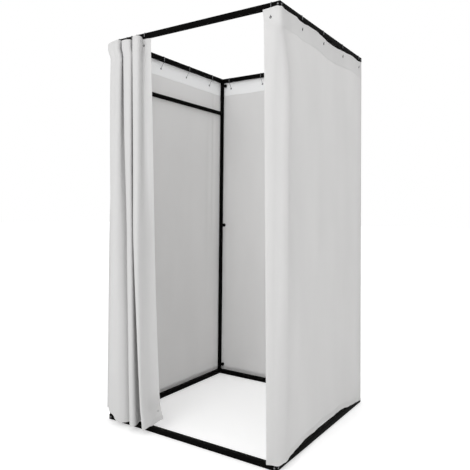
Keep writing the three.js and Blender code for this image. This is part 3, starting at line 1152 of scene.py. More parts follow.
@dataclass
class WireHooks(SubAssembly):
    """The eighteen wire hooks, each over a top rail and out through an eyelet."""

    wire: float = 0.00125
    overhang: float = 0.020
    tip: float = 0.009
    bend: float = 0.0042
    hang: float = 0.0138
    crossing: float = -0.05335
    elbow: float = 0.0024
    tip_reach: float = 0.00255
    sides: int = 12

    def build(self) -> None:
        """Bends one hook and sets a copy of it at each place."""
        model = bent_wire("wire_hook", self.wire, self.line(), self.bend, self.sides)
        for node in sorted(name for name in frame["nodes"] if name.startswith("hook_")):
            low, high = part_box(node)
            side, place = self.rail_place(node, (low + high) / 2)
            hook = copied(model, f"{node}_wire", Matrix.Translation(place) @ side.turn)
            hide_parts(node)
            self.keep(hook, self.finishes.wire, self.body(node))
        scrap(model)

    def line(self) -> list[Pair]:
        """The line of the wire as (outwards, up) from the rail's middle.

        Returns:
            The corners of the line, from the end outside the rail to the tip outside the cloth.
        """
        half = self.sizes.rail / 2
        reach = half + self.sizes.fit_gap + self.wire
        outer = self.hang + self.tip_reach
        return [
            (reach, half - self.overhang), (reach, reach), (-reach, reach), (-reach, -half - self.elbow),
            (0, (self.crossing - half) / 2), (self.hang - self.elbow, self.crossing),
            (outer, self.crossing), (outer, self.crossing + self.tip),
        ]

    def rail_place(self, node: str, middle: Vector) -> tuple[Side, Vector]:
        """Finds where a hook's rail runs.

        Args:
            node: The hook's CAD node, whose name tells its side.
            middle: The middle of the node's box.

        Returns:
            The hook's side of the room, and the point on the middle of its rail.
        """
        post, back = self.sizes.post, self.sizes.setback
        height = self.sizes.rail_middle
        if "right" in node:
            return Side.RIGHT, Vector((post, middle.y, height))
        if "left" in node:
            return Side.LEFT, Vector((-post, middle.y, height))
        if "back" in node:
            return Side.BACK, Vector((middle.x, back + post, height))
        return Side.FRONT, Vector((middle.x, back - post, height))

    @staticmethod
    def body(node: str) -> str:
        """The body that carries a hook or its eyelet.

        Args:
            node: The hook's CAD node.

        Returns:
            The body's name.
        """
        if node in frame["bodies"]:
            return node
        return "door_lead" if node == "hook_door_5" else "frame"


# --------------------------------------------------------------------------- cloth


@dataclass
class HangingCloth(SubAssembly):
    """A cloth that hangs between a top edge and a hem. A subclass says where its surface runs.

    A place on it is a station across the cloth and a height above the floor. Its step is a
    short run of stations, for reading the way the cloth runs.
    """

    node: str = ""
    step: float = 0.002
    thickness: float = 0.0012
    lining: float = 0.0004
    lining_lift: float = 0.00085
    header: float = 0.088
    hem_turn: float = 0.026
    stitch: float = 0.0034
    stitch_pitch: float = 0.0048
    stitch_width: float = 0.0007
    stitch_proud: float = 0.00022
    top_seam: float = 0.008
    edge_seam: float = 0.003
    tape_pitch: float = 0.09
    hem_pitch: float = 0.25
    hole: float = 0.0028
    hole_share: float = 1.0

    def surface(self, station: float, height: float) -> Vector:
        """The point of the cloth's middle at a station and height."""
        raise NotImplementedError

    def top(self, station: float) -> float:
        """The height of the top edge at a station."""
        raise NotImplementedError

    def hem(self, station: float) -> float:
        """The height of the hem at a station."""
        raise NotImplementedError

    def across(self, station: float) -> float:
        """How far across the flat cut a station lies, in metres."""
        raise NotImplementedError

    def eyelet_places(self) -> list[tuple[str, Matrix]]:
        """Each hook's node with the place of its eyelet, whose axis is along Y."""
        raise NotImplementedError

    def outward(self, station: float, height: float) -> Vector:
        """The way out of the cloth's outer face at a station and height.

        Args:
            station: The place across the cloth.
            height: The height above the floor.

        Returns:
            A direction of length 1.
        """
        side, rise = self.step, 0.002
        along = self.surface(station + side, height) - self.surface(station - side, height)
        up = self.surface(station, height + rise) - self.surface(station, height - rise)
        return along.cross(up).normalized()

    def panel(self, name: str, stations: Sequence[float], low: Callable[[float], float],
              high: Callable[[float], float], shares: Sequence[float], lift: float, wall: float) -> bpy.types.Object:
        """Makes a sheet of the cloth between two edges.

        Args:
            name: The piece's name.
            stations: Where its columns are.
            low: Gives the height of its lower edge at a station.
            high: Gives the height of its upper edge at a station.
            shares: Where its rows are, from 0 at the lower edge to 1 at the upper.
            lift: How far it lies outside the cloth's middle.
            wall: Its thickness.

        Returns:
            The closed sheet, with the map of its flat cut in metres.
        """
        points, cut, faces = [], [], []
        for station in stations:
            for share in shares:
                height = between(low(station), high(station), share)
                point = self.surface(station, height)
                if lift:
                    point = point + self.outward(station, height) * lift
                points.append(point)
                cut.append((self.across(station), height))
        rows = len(shares)
        for column in range(len(stations) - 1):
            for row in range(rows - 1):
                first = column * rows + row
                faces.append((first, first + rows, first + rows + 1, first + 1))
        sheet = mapped(name, points, faces, cut)
        modified(sheet, "SOLIDIFY", thickness=wall, offset=0, use_even_offset=True)
        return sheet

    def punch(self, sheet: bpy.types.Object) -> None:
        """Punches the eyelet holes, whose width is a share of their height.

        Args:
            sheet: The sheet to punch.
        """
        clear_selection()
        bpy.ops.mesh.primitive_cylinder_add(vertices=20, radius=self.hole, depth=0.008, rotation=(math.pi / 2, 0, 0))
        model = started("punch")
        model.scale.x = self.hole_share
        bpy.ops.object.transform_apply(location=True, rotation=True, scale=True)
        punches = [copied(model, f"punch_{node}", place) for node, place in self.eyelet_places()]
        scrap(model)
        take(punches[0])
        for tool in punches:
            tool.select_set(True)
        bpy.ops.object.join()
        tool = bpy.context.view_layer.objects.active
        modified(sheet, "BOOLEAN", operation="DIFFERENCE", solver="EXACT", object=tool)
        scrap(tool)

    def seam(self, name: str, places: Sequence[Pair]) -> bpy.types.Object:
        """Sews a row of stitches.

        Args:
            name: The piece's name.
            places: The row's line on the cloth as (station, height), closely spaced.

        Returns:
            One piece with all the stitches, each a short lens of thread through the cloth.
        """
        line = [self.surface(*place) for place in places]
        points, faces, cut = [], [], []
        deep = self.thickness / 2 + self.lining + self.stitch_proud
        wait = self.stitch_pitch / 2
        for start, end, place in zip(line, line[1:], places):
            run = (end - start).length
            if run < 1e-9:
                continue
            ahead = (end - start) / run
            out = self.outward(*place)
            side = out.cross(ahead).normalized()
            while wait < run:
                middle = start + ahead * wait
                first = len(points)
                for along, wide in ((-0.5, 0.0), (-0.3, 0.5), (0.3, 0.5), (0.5, 0.0), (0.3, -0.5), (-0.3, -0.5)):
                    shape = middle + ahead * (along * self.stitch) + side * (wide * self.stitch_width)
                    rise = deep * (0.8 if wide == 0.0 else 1.0)
                    points += [shape + out * rise, shape - out * rise]
                    cut += [(self.across(place[0]), place[1] + wide * 0.001)] * 2
                faces.append(tuple(first + 2 * k for k in range(6)))
                faces.append(tuple(first + 11 - 2 * k for k in range(6)))
                for k in range(6):
                    here, after = first + 2 * k, first + 2 * ((k + 1) % 6)
                    faces.append((here, here + 1, after + 1, after))
                wait += self.stitch_pitch
            wait -= run
        row = mapped(name, points, faces, cut)
        with bench(row):
            bpy.ops.mesh.select_all(action="SELECT")
            bpy.ops.mesh.normals_make_consistent(inside=False)
        return finish_piece(row, CLOTH_SMOOTHING)

    def sew(self, finish: Finish, stations: Sequence[float], sewn: Sequence[float], shares: Sequence[float],
            body: str | None) -> list[bpy.types.Object]:
        """Makes the sheet, its header tape, its turned-up hem and its stitching.

        Args:
            finish: The finish of the sheet and its hem.
            stations: The stations of the columns.
            sewn: The stations that the stitching runs through.
            shares: Where the sheet's rows are, from 0 at the hem to 1 at the top edge.
            body: The body that carries it all, or None to leave it all on no body.

        Returns:
            The sheet, the tape, the hem and the three rows of stitches.
        """
        made, inside, prefix = [], -self.lining_lift, self.node.split("_")[0]

        def tape_edge(station: float) -> float:
            """The height of the header tape's lower edge."""
            return self.top(station) - self.header

        def hem_edge(station: float) -> float:
            """The height of the turned-up hem's upper edge."""
            return self.hem(station) + self.hem_turn

        sheet = self.panel(f"{self.node}_sheet", stations, self.hem, self.top, shares, 0, self.thickness)
        self.punch(sheet)
        made.append(self.keep(finish_piece(sheet, CLOTH_SMOOTHING), finish, body))
        tape = self.panel(f"{prefix}_header_tape", stations, tape_edge, self.top, even(0, 1, self.tape_pitch),
                          inside, self.lining)
        self.punch(tape)
        made.append(self.keep(finish_piece(tape, CLOTH_SMOOTHING), self.finishes.tape, body))
        hem = self.panel(f"{prefix}_hem", stations, self.hem, hem_edge, even(0, 1, self.hem_pitch),
                         inside, self.lining)
        made.append(self.keep(finish_piece(hem, CLOTH_SMOOTHING), finish, body))
        lines = {
            "top": [(s, self.top(s) - self.top_seam) for s in sewn],
            "tape": [(s, tape_edge(s) + self.edge_seam) for s in sewn],
            "hem": [(s, hem_edge(s) - self.edge_seam) for s in sewn],
        }
        for name, places in lines.items():
            made.append(self.keep(self.seam(f"{prefix}_{name}_stitches", places), self.finishes.thread, body))
        return made


def even(start: float, end: float, pitch: float) -> list[float]:
    """Evenly spaced places from start to end, at about a pitch."""
    count = max(1, round(abs(end - start) / pitch))
    return [between(start, end, index / count) for index in range(count + 1)]


def rows(edge: float, count: int) -> list[float]:
    """Row shares from 0 to 1, closer together near both ends.

    Args:
        edge: How strongly they close up, from 0 to 1.
        count: How many gaps there are between rows.

    Returns:
        The shares, in order.
    """
    shares = []
    for index in range(count + 1):
        share = index / count
        shares.append(between(share, smooth(share), edge))
    return shares


@dataclass
class EnclosureCloth(HangingCloth):
    """The cloth round the front right corner, the right side, the back and the left side."""

    node: str = "enclosure_cloth"
    cut_height: float = 1.935
    free_edge_top: float = 0.419
    free_edge_hem: float = 0.4505
    bend_radius: float = 0.0135
    swell: float = 0.036
    swell_run: float = 0.50
    left_end: float = -0.4673
    column_pitch: float = 0.012
    bend_pitch: float = 0.0027
    full_pitch: float = 0.004
    full_columns: float = 0.06
    row_count: int = 64
    right_top: tuple[Pair, ...] = (
        (-0.492, 1.978), (-0.458, 1.972), (-0.347, 1.9745), (-0.321, 1.967), (-0.268, 1.9665), (-0.22, 1.971),
        (-0.127, 1.9735), (-0.085, 1.967), (-0.04, 1.963), (-0.005, 1.9575), (0.047, 1.9556), (0.124, 1.9565),
        (0.188, 1.962), (0.229, 1.965), (0.348, 1.9735), (0.432, 1.967), (0.49, 1.972),
    )
    right_hem: tuple[Pair, ...] = (
        (-0.488, 0.027), (-0.461, 0.0365), (-0.413, 0.051), (-0.365, 0.061), (-0.33, 0.0645), (-0.293, 0.063),
        (-0.221, 0.057), (-0.149, 0.0535), (0, 0.05), (0.1, 0.0475), (0.18, 0.048), (0.235, 0.0445),
        (0.3, 0.0355), (0.38, 0.0245), (0.49, 0.015),
    )

    def __post_init__(self) -> None:
        """Lays out the runs of the cloth from its free edge to its left end."""
        plane, bend = self.sizes.cloth_plane, self.bend_radius
        quarter = bend * math.pi / 2
        near = plane - bend
        front, back = self.sizes.front, self.sizes.back
        self.strip = near - self.free_edge_top
        lengths = [
            self.strip, quarter, back - front - 2 * bend, quarter, 2 * near, quarter, back - bend - self.left_end,
        ]
        self.marks = [0.0]
        for length in lengths:
            self.marks.append(self.marks[-1] + length)
        self.hooks = sorted(self.hook_station(node) for node in frame["nodes"] if self.carries(node))

    @staticmethod
    def carries(node: str) -> bool:
        """Whether a node is a hook that carries this cloth."""
        return node.startswith("hook_") and not node.startswith("hook_door")

    def hook_station(self, node: str) -> float:
        """The station of a hook that carries this cloth.

        Args:
            node: The hook's CAD node.

        Returns:
            Its distance from the free edge, along the cloth.
        """
        low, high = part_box(node)
        middle = (low + high) / 2
        if "right" in node:
            return self.marks[2] + middle.y - (self.sizes.front + self.bend_radius)
        if "back" in node:
            return self.marks[4] + (self.sizes.cloth_plane - self.bend_radius) - middle.x
        if "left" in node:
            return self.marks[6] + (self.sizes.back - self.bend_radius) - middle.y
        return middle.x - self.free_edge_top

    def across(self, station: float) -> float:
        """How far across the flat cut a station lies, which is the station itself."""
        return station

    def plan(self, station: float, height: float) -> tuple[Vector, Vector, Side | None]:
        """Finds a station on the plan of the cloth, before it billows.

        Args:
            station: The distance from the free edge.
            height: The height above the floor, because the free edge leans.

        Returns:
            The place, the way outwards, and the side, or None in a bend.
        """
        marks, bend = self.marks, self.bend_radius
        plane, front, back = self.sizes.cloth_plane, self.sizes.front, self.sizes.back
        near = plane - bend
        if station <= marks[1]:
            edge = between(self.free_edge_hem, self.free_edge_top, height / self.sizes.cloth_top)
            edge -= 0.005 * smooth((height - 1.925) / 0.04)
            return Vector((between(edge, near, station / self.strip), front, 0)), Vector((0, -1, 0)), Side.FRONT
        if station <= marks[2]:
            return self.round_corner(Vector((near, front + bend, 0)), -90, station - marks[1])
        if station <= marks[3]:
            return Vector((plane, front + bend + station - marks[2], 0)), Vector((1, 0, 0)), Side.RIGHT
        if station <= marks[4]:
            return self.round_corner(Vector((near, back - bend, 0)), 0, station - marks[3])
        if station <= marks[5]:
            return Vector((near - (station - marks[4]), back, 0)), Vector((0, 1, 0)), Side.BACK
        if station <= marks[6]:
            return self.round_corner(Vector((-near, back - bend, 0)), 90, station - marks[5])
        return Vector((-plane, back - bend - (station - marks[6]), 0)), Vector((-1, 0, 0)), Side.LEFT

    def round_corner(self, centre: Vector, start: float, run: float) -> tuple[Vector, Vector, None]:
        """A place on a bend, by the angle its arc starts at in degrees and the run along it.

        Args:
            centre: The middle of the arc.
            start: The angle where the arc starts, in degrees.
            run: The distance along the arc.

        Returns:
            The place, the way outwards, and None for the side.
        """
        angle = math.radians(start) + run / self.bend_radius
        out = Vector((math.cos(angle), math.sin(angle), 0))
        return centre + out * self.bend_radius, out, None

    def free(self, station: float) -> float:
        """How free the cloth is to billow: 0 at a hook or a corner, 1 between them.

        Args:
            station: The place across the cloth.

        Returns:
            The share.
        """
        stops = sorted([*self.hooks, *(self.marks[i] for i in (1, 2, 3, 4, 5, 6)), 0.0, self.marks[7]])
        for start, end in zip(stops, stops[1:]):
            if start <= station <= end and end > start:
                return math.sin(math.pi * (station - start) / (end - start)) ** 2 * smooth((end - start) / 0.12)
        return 0.0

    def off_post(self, station: float) -> float:
        """How far clear of the four uprights the cloth is: 0 at one, 1 well away from it.

        Args:
            station: The place across the cloth.

        Returns:
            The share.
        """
        middles = [(self.marks[i] + self.marks[i + 1]) / 2 for i in (1, 3, 5)] + [self.marks[7]]
        nearest = min(abs(station - middle) for middle in middles)
        return smooth((nearest - 0.015) / 0.09)

    def billow(self, station: float, height: float) -> float:
        """How far the cloth stands outside its plane at a station and height.

        Args:
            station: The place across the cloth.
            height: The height above the floor.

        Returns:
            The distance, below 0 where the cloth dips inwards.
        """
        below = self.top(station) - height
        loose = self.off_post(station)
        header = 0.0035 * self.free(station) * noise.noise(Vector((station * 3.1, 4.2, 0.3)))
        swing = 0.0042 * noise.noise(Vector((station * 3.7, height * 0.35, 1.7)))
        wide = 0.0040 * noise.noise(Vector((station * 1.5, height * 0.55, 8.1)))
        flare = 0.0050 * math.sin(station * math.tau / 0.21 + 0.8) * math.exp(-(height - self.hem(station)) / 0.16)
        hanging = smooth(below / 0.30)
        out = header * math.exp(-below / 0.20) * 2 + loose * (hanging * (swing + wide) + 0.6 * flare)
        out += self.details(station, height)
        return out if out > 0 else out * self.room_inside(station, height)

    def room_inside(self, station: float, height: float) -> float:
        """How much of a dip inwards the frame leaves room for, from 0 to 1.

        Args:
            station: The place across the cloth.
            height: The height above the floor.

        Returns:
            The share of the dip that is left.
        """
        over_rail = smooth((height - 0.03) / 0.03)
        room = over_rail * self.off_post(station)
        if station > self.marks[6]:
            room *= 1 - bell(height - 1.77, 0.045)
        return room

    def full_corner(self, past: float, height: float) -> Vector:
        """The plan of the cloth where it hangs fullest round the front right corner.

        It keeps to the front past the upright, turns to the right side in one soft bend and
        comes back to the side's plane along a slow curve.

        Args:
            past: The distance past the start of the bend, along the taut cloth.
            height: The height above the floor, because the bend is wider below.

        Returns:
            The place, on the floor plan.
        """
        plane, front, bend = self.sizes.cloth_plane, self.sizes.front, self.bend_radius
        turn = between(0.045, 0.026, smooth((height - 0.3) / 0.9))
        ahead, arc, back = bend + self.swell - turn, turn * math.pi / 2, self.swell_run - turn
        run = past * (ahead + arc + back) / (self.marks[2] - self.marks[1] + self.swell_run - bend)
        if run <= ahead:
            return Vector((plane - bend + run, front, 0))
        if run <= ahead + arc:
            angle = (run - ahead) / turn
            return Vector((plane + self.swell - turn * (1 - math.sin(angle)), front + turn * (1 - math.cos(angle)), 0))
        run -= ahead + arc
        return Vector((plane + self.swell * (1 - smooth(run / back)), front + turn + run, 0))

    def fullness(self, past: float, height: float) -> float:
        """How full the front right corner hangs at a height: taut at the hooks, full below.

        Args:
            past: The distance past the start of the bend.
            height: The height above the floor.

        Returns:
            The share of the full shape, from 0 to 1.
        """
        edge = between(1.975, 1.927, smooth((past - 0.02) / 0.04))
        below = min(max(edge - height, 0.0) / 0.40, 1.0)
        return math.sin(below * math.pi / 2) * between(0.75, 1.0, smooth(height / 0.9))

    def details(self, station: float, height: float) -> float:
        """The folds that this cloth keeps: a slanting crease and two soft folds.

        Args:
            station: The place across the cloth.
            height: The height above the floor.

        Returns:
            How far they stand outside the cloth.
        """
        along = station - (self.marks[2] + 0.514)
        line = 1.748 + 0.09 * along
        crease = -0.0016 * bell(height - line, 0.012) * smooth((along + 0.02) / 0.1) * smooth((0.47 - along) / 0.08)
        pleat_at = self.marks[6] + 0.077
        pleat = 0.0062 * bell(station - pleat_at, 0.012) * smooth((height - 0.75) / 0.4)
        pleat *= smooth((1.93 - height) / 0.12)
        second = 0.0022 * bell(station - pleat_at - 0.055, 0.02) * smooth((height - 0.3) / 0.5)
        return crease + pleat + second * smooth((1.9 - height) / 0.3)

    def surface(self, station: float, height: float) -> Vector:
        """The point of the cloth's middle at a station and height.

        Args:
            station: The place across the cloth.
            height: The height above the floor.

        Returns:
            The point.
        """
        held = min(max(station, 0.0), self.marks[7])
        place, out, _ = self.plan(held, height)
        past = held - self.marks[1]
        full = self.fullness(past, height)
        if 0 < past < self.marks[2] - self.marks[1] + self.swell_run - self.bend_radius:
            place = place.lerp(self.full_corner(past, height), full)
        place.y -= 0.008 * bell(past, 0.04) * full
        point = place + out * self.billow(held, height)
        point.z = height
        if held != station:
            point += (Vector((-1, 0, 0)) if station < 0 else Vector((0, -1, 0))) * abs(station - held)
        return point

    def top(self, station: float) -> float:
        """The height of the top edge at a station.

        Args:
            station: The place across the cloth.

        Returns:
            The height.
        """
        _, _, side = self.plan(min(max(station, 0.0), self.marks[7]), 1.97)
        if side is Side.RIGHT:
            return through(self.right_top, station - self.marks[2] - self.sizes.cloth_plane + self.bend_radius)
        if side is Side.FRONT:
            return between(1.9745, 1.9785, smooth(station / self.strip))
        return 1.9775 - 0.002 * self.free(station)

    def hem(self, station: float) -> float:
        """The height of the hem at a station.

        Args:
            station: The place across the cloth.

        Returns:
            The height.
        """
        _, _, side = self.plan(min(max(station, 0.0), self.marks[7]), 0.0)
        if side is Side.RIGHT:
            return through(self.right_hem, station - self.marks[2] - self.sizes.cloth_plane + self.bend_radius)
        if station <= self.marks[2]:
            return between(0.020, 0.027, smooth(station / self.marks[1]))
        return 0.018 + 0.004 * noise.noise(Vector((station * 2.3, 0.7, 3.3)))

    def stations(self) -> list[float]:
        """The stations of the cloth's columns, close together in the bends and at the creases.

        Returns:
            The stations, in order.
        """
        columns = [0.0]
        for index, (start, end) in enumerate(zip(self.marks, self.marks[1:])):
            if index == 2:
                columns += even(start, start + self.full_columns, self.full_pitch)[1:]
                start = columns[-1]
            pitch = self.bend_pitch if index in (1, 3, 5) else self.column_pitch
            columns += even(start, end, pitch)[1:]
        return columns

    def eyelet_places(self) -> list[tuple[str, Matrix]]:
        """Each hook's node with the place of its eyelet, whose axis is along Y.

        Returns:
            The nodes and the places.
        """
        places = []
        for node in sorted(name for name in frame["nodes"] if self.carries(name)):
            station = self.hook_station(node)
            point = self.surface(station, self.sizes.eyelet_height)
            _, _, side = self.plan(station, self.sizes.eyelet_height)
            places.append((node, Matrix.Translation(point) @ side.turn))
        return places

    def build(self) -> None:
        """Makes the cloth, its header tape, its hem and its stitching."""
        stations = self.stations()
        sewn = [s for s in stations if self.edge_seam <= s <= self.marks[7] - self.edge_seam]
        sheet, *extra = self.sew(self.finishes.cloth, stations, sewn, rows(0.45, self.row_count), "frame")
        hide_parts(self.node)
        self.cut_area(stations)

    def cut_area(self, stations: Sequence[float]) -> float:
        """The area of the flat cut, whose top and bottom edges are shaped.

        Args:
            stations: The stations of the columns.

        Returns:
            The area in square metres.
        """
        area = 0.0
        for start, end in zip(stations, stations[1:]):
            middle = (start + end) / 2
            area += (end - start) * (self.top(middle) - self.hem(middle))
        return min(area, self.marks[-1] * self.cut_height)


@dataclass
class DoorCurtain(HangingCloth):
    """The curtain on the front top rail, gathered into folds at the left of the doorway.

    Its plan is told at three heights. Each row of folds gives, for the top, the middle and
    the hem, the place along the rail as a share of the gathered width, and how far the cloth
    stands in front of its hanging line as a share of the fold depth. The eyelet holes are
    narrow, so that the eyelets hide most of each one when the cloth is drawn out.
    """

    node: str = "door_curtain"
    step: float = 0.06
    cut_height: float = 1.945
    stud_place: Pair = (59.4, 0.094)
    first_hook: float = -0.470
    gather: float = 0.182
    fold_depth: float = 0.055
    middle_height: float = 1.0
    hem_height: float = 0.028
    columns_per_fold: int = 4
    row_count: int = 80
    hole_share: float = 0.45
    flat_band: float = 0.012
    lean: Pair = (0.99871, 0.0359)
    hem_line: tuple[Pair, ...] = (
        (0, 0.066), (7, 0.076), (10, 0.078), (11, 0.066), (12, 0.056), (12.7, 0.030), (13.4, 0.024),
        (20, 0.034), (31, 0.025), (35, 0.027), (42, 0.036), (49, 0.024), (51, 0.019), (55, 0.035), (61, 0.053),
    )
    top_line: tuple[Pair, ...] = (
        (0, 1.966), (3, 1.966), (8, 1.960), (10, 1.963), (11, 1.967), (12, 1.972), (13, 1.975), (14.5, 1.979),
        (19, 1.975), (25, 1.968), (31, 1.965), (35, 1.964), (40, 1.967), (48, 1.972), (52, 1.973), (57, 1.967),
        (61, 1.966),
    )
    folds: tuple[tuple[Pair, Pair, Pair], ...] = (
        ((-0.16, 0.29), (-0.165, 0.3), (-0.15, 0.25)),
        ((-0.11, 0.16), (-0.13, 0.23), (-0.13, 0.19)),
        ((-0.016, 0), (-0.09, 0.16), (-0.1, 0.18)),
        ((0.016, 0), (-0.05, 0.14), (-0.08, 0.19)),
        ((0.05, 0.05), (-0.02, 0.16), (-0.05, 0.23)),
        ((0.05, 0.18), (0.01, 0.23), (-0.03, 0.3)),
        ((0, 0.27), (0.01, 0.32), (-0.01, 0.41)),
        ((-0.09, 0.3), (0.02, 0.43), (0.03, 0.52)),
        ((-0.16, 0.39), (0.01, 0.54), (0.04, 0.63)),
        ((-0.2, 0.59), (0.02, 0.69), (0.06, 0.74)),
        ((-0.17, 0.83), (0.05, 0.83), (0.1, 0.86)),
        ((-0.06, 0.98), (0.13, 0.95), (0.18, 0.97)),
        ((0.08, 0.99), (0.22, 0.98), (0.3, 0.97)),
        ((0.2, 0.9), (0.32, 0.89), (0.46, 0.91)),
        ((0.25, 0.65), (0.39, 0.7), (0.57, 0.74)),
        ((0.21, 0.34), (0.44, 0.46), (0.66, 0.52)),
        ((0.22, 0.09), (0.47, 0.18), (0.72, 0.22)),
        ((0.25, 0.01), (0.49, -0.08), (0.75, -0.04)),
        ((0.294, 0), (0.51, -0.28), (0.75, -0.24)),
        ((0.326, 0), (0.51, -0.39), (0.74, -0.35)),
        ((0.35, -0.08), (0.51, -0.64), (0.74, -0.61)),
        ((0.35, -0.66), (0.53, -1.3), (0.75, -1.21)),
        ((0.4, -1.84), (0.58, -2.21), (0.81, -2.11)),
        ((0.46, -0.66), (0.64, -1.3), (0.87, -1.21)),
        ((0.46, -0.08), (0.65, -0.64), (0.88, -0.61)),
        ((0.484, 0), (0.65, -0.39), (0.88, -0.35)),
        ((0.516, 0), (0.65, -0.28), (0.88, -0.24)),
        ((0.54, 0.06), (0.68, -0.1), (0.9, -0.06)),
        ((0.53, 0.19), (0.68, 0.12), (0.9, 0.12)),
        ((0.47, 0.29), (0.67, 0.34), (0.89, 0.34)),
        ((0.38, 0.38), (0.65, 0.56), (0.89, 0.56)),
        ((0.34, 0.59), (0.66, 0.76), (0.89, 0.75)),
        ((0.385, 0.85), (0.7, 0.9), (0.93, 0.88)),
        ((0.465, 0.98), (0.757, 0.98), (0.97, 0.95)),
        ((0.57, 0.98), (0.785, 0.96), (1.01, 0.94)),
        ((0.655, 0.89), (0.83, 0.87), (1.05, 0.85)),
        ((0.69, 0.72), (0.845, 0.7), (1.07, 0.66)),
        ((0.675, 0.48), (0.825, 0.45), (1.055, 0.42)),
        ((0.64, 0.24), (0.795, 0.14), (1.02, 0.12)),
        ((0.645, 0.08), (0.78, -0.2), (0.995, -0.21)),
        ((0.674, 0), (0.775, -0.5), (0.985, -0.5)),
        ((0.706, 0), (0.78, -0.62), (0.985, -0.61)),
        ((0.73, -0.08), (0.795, -0.86), (1.01, -0.84)),
        ((0.74, -0.57), (0.84, -1.21), (1.12, -1.21)),
        ((0.79, -1.3), (0.88, -1.51), (1.26, -1.51)),
        ((0.84, -0.57), (0.92, -1.21), (1.33, -1.21)),
        ((0.84, -0.08), (0.93, -0.75), (1.36, -0.75)),
        ((0.82, 0.27), (0.92, -0.21), (1.37, -0.3)),
        ((0.785, 0.6), (0.895, 0.25), (1.35, 0.12)),
        ((0.8, 0.86), (0.895, 0.6), (1.325, 0.5)),
        ((0.87, 0.985), (0.935, 0.87), (1.325, 0.74)),
        ((0.96, 0.99), (1.04, 1), (1.35, 0.86)),
        ((1.02, 0.83), (1.105, 0.93), (1.378, 0.8)),
        ((1.03, 0.56), (1.14, 0.74), (1.4, 0.62)),
        ((1.0, 0.3), (1.16, 0.54), (1.42, 0.44)),
        ((0.97, 0.12), (1.18, 0.34), (1.445, 0.27)),
        ((0.97, 0.03), (1.2, 0.15), (1.468, 0.1)),
        ((0.99, 0), (1.222, -0.03), (1.49, -0.06)),
        ((1.03, 0.01), (1.245, -0.2), (1.515, -0.22)),
        ((1.1, 0.03), (1.268, -0.35), (1.545, -0.4)),
        ((1.17, 0.01), (1.292, -0.49), (1.577, -0.58)),
        ((1.24, -0.05), (1.315, -0.62), (1.61, -0.75)),
    )

    def __post_init__(self) -> None:
        """Measures the cloth across, fold by fold, at its middle height."""
        self.last = len(self.folds) - 1
        self.reach = [0.0]
        for index in range(self.last):
            steps = [self.surface(index + k / 8, self.middle_height) for k in range(9)]
            self.reach.append(self.reach[-1] + sum((b - a).length for a, b in zip(steps, steps[1:])))

    def across(self, station: float) -> float:
        """How far across the flat cut a station lies."""
        index = min(int(station), self.last - 1)
        return between(self.reach[index], self.reach[index + 1], station - index)

    def fold(self, station: float, level: int) -> Vector:
        """The plan of the folds at one of the three heights.

        Args:
            station: The row of folds, and the share of the way to the next one.
            level: 0 for the top, 1 for the middle, 2 for the hem.

        Returns:
            The place along the gathered width and in front of the hanging line, as shares.
        """
        held = min(max(station, 0.0), float(self.last))
        index = min(int(held), self.last - 1)
        share = held - index
        near = [Vector(self.folds[min(max(index + k, 0), self.last)][level]) for k in (-1, 0, 1, 2)]
        start, end = (near[2] - near[0]) / 2, (near[3] - near[1]) / 2
        square, cube = share * share, share * share * share
        return (
            near[1] * (2 * cube - 3 * square + 1) + start * (cube - 2 * square + share)
            + near[2] * (3 * square - 2 * cube) + end * (cube - square)
        )

    def surface(self, station: float, height: float) -> Vector:
        """The point of the cloth's middle at a station and height.

        Args:
            station: The place across the cloth.
            height: The height above the floor.

        Returns:
            The point.
        """
        band = self.sizes.eyelet_height - self.flat_band
        middle = self.fold(station, 1)
        if height < self.middle_height:
            share = (self.middle_height - height) / (self.middle_height - self.hem_height)
            shape = middle.lerp(self.fold(station, 2), max(share, 0.0) ** 1.2)
        else:
            share = min((height - self.middle_height) / (band - self.middle_height), 1.0)
            shape = middle.lerp(self.fold(station, 0), share)
        along = self.first_hook + shape.x * self.gather + self.waist(station, height)
        front = self.sizes.front - shape.y * self.fold_depth + self.groove(station, height)
        return Vector((along, front, height)) + self.kick(station, height) + self.sway(station, height)

    def waist(self, station: float, height: float) -> float:
        """How far the left lobes are drawn in to the right just below the hooks."""
        share = between(1.0, 0.5, smooth((station - 11) / 8)) * smooth((46 - station) / 14)
        return 0.019 * share * smooth((1.937 - height) / 0.055) * math.exp(-max(1.88 - height, 0) / 0.24)

    def kick(self, station: float, height: float) -> Vector:
        """How far the leading part of the hem swings out to the right, and clears the thumb screw.

        Args:
            station: The place across the cloth.
            height: The height above the floor.

        Returns:
            The move along the rail and away from it.
        """
        swing = smooth((station - 44) / 17) * smooth((0.125 - height) / 0.085)
        clear = smooth((station - 53) / 8) * smooth((0.20 - height) / 0.11)
        return Vector((0.017 * swing - 0.010 * clear, 0.015 * clear, 0))

    def groove(self, station: float, height: float) -> float:
        """How deep the soft groove down the front of the first fold is."""
        return 0.006 * bell(station - 11.7, 0.55) * smooth((height - 1.15) / 0.5) * smooth((1.99 - height) / 0.06)

    def sway(self, station: float, height: float) -> Vector:
        """The small wander of the folds, which dies away at the hooks.

        Args:
            station: The place across the cloth.
            height: The height above the floor.

        Returns:
            The move along the rail and away from it.
        """
        loose = smooth((1.93 - height) / 0.25)
        along = noise.noise(Vector((station * 0.13, height * 1.1, 2.0)))
        front = noise.noise(Vector((station * 0.17, height * 1.6, 7.0)))
        return Vector((along * 0.0035, front * 0.0030, 0)) * loose

    def top(self, station: float) -> float:
        """The height of the top edge at a station."""
        return through(self.top_line, station)

    def hem(self, station: float) -> float:
        """The height of the hem at a station."""
        return through(self.hem_line, station) + 0.002 * noise.noise(Vector((station * 0.21, 5.0, 5.0)))

    def stations(self) -> list[float]:
        """The stations of the curtain's columns."""
        return even(0, self.last, 1 / self.columns_per_fold)

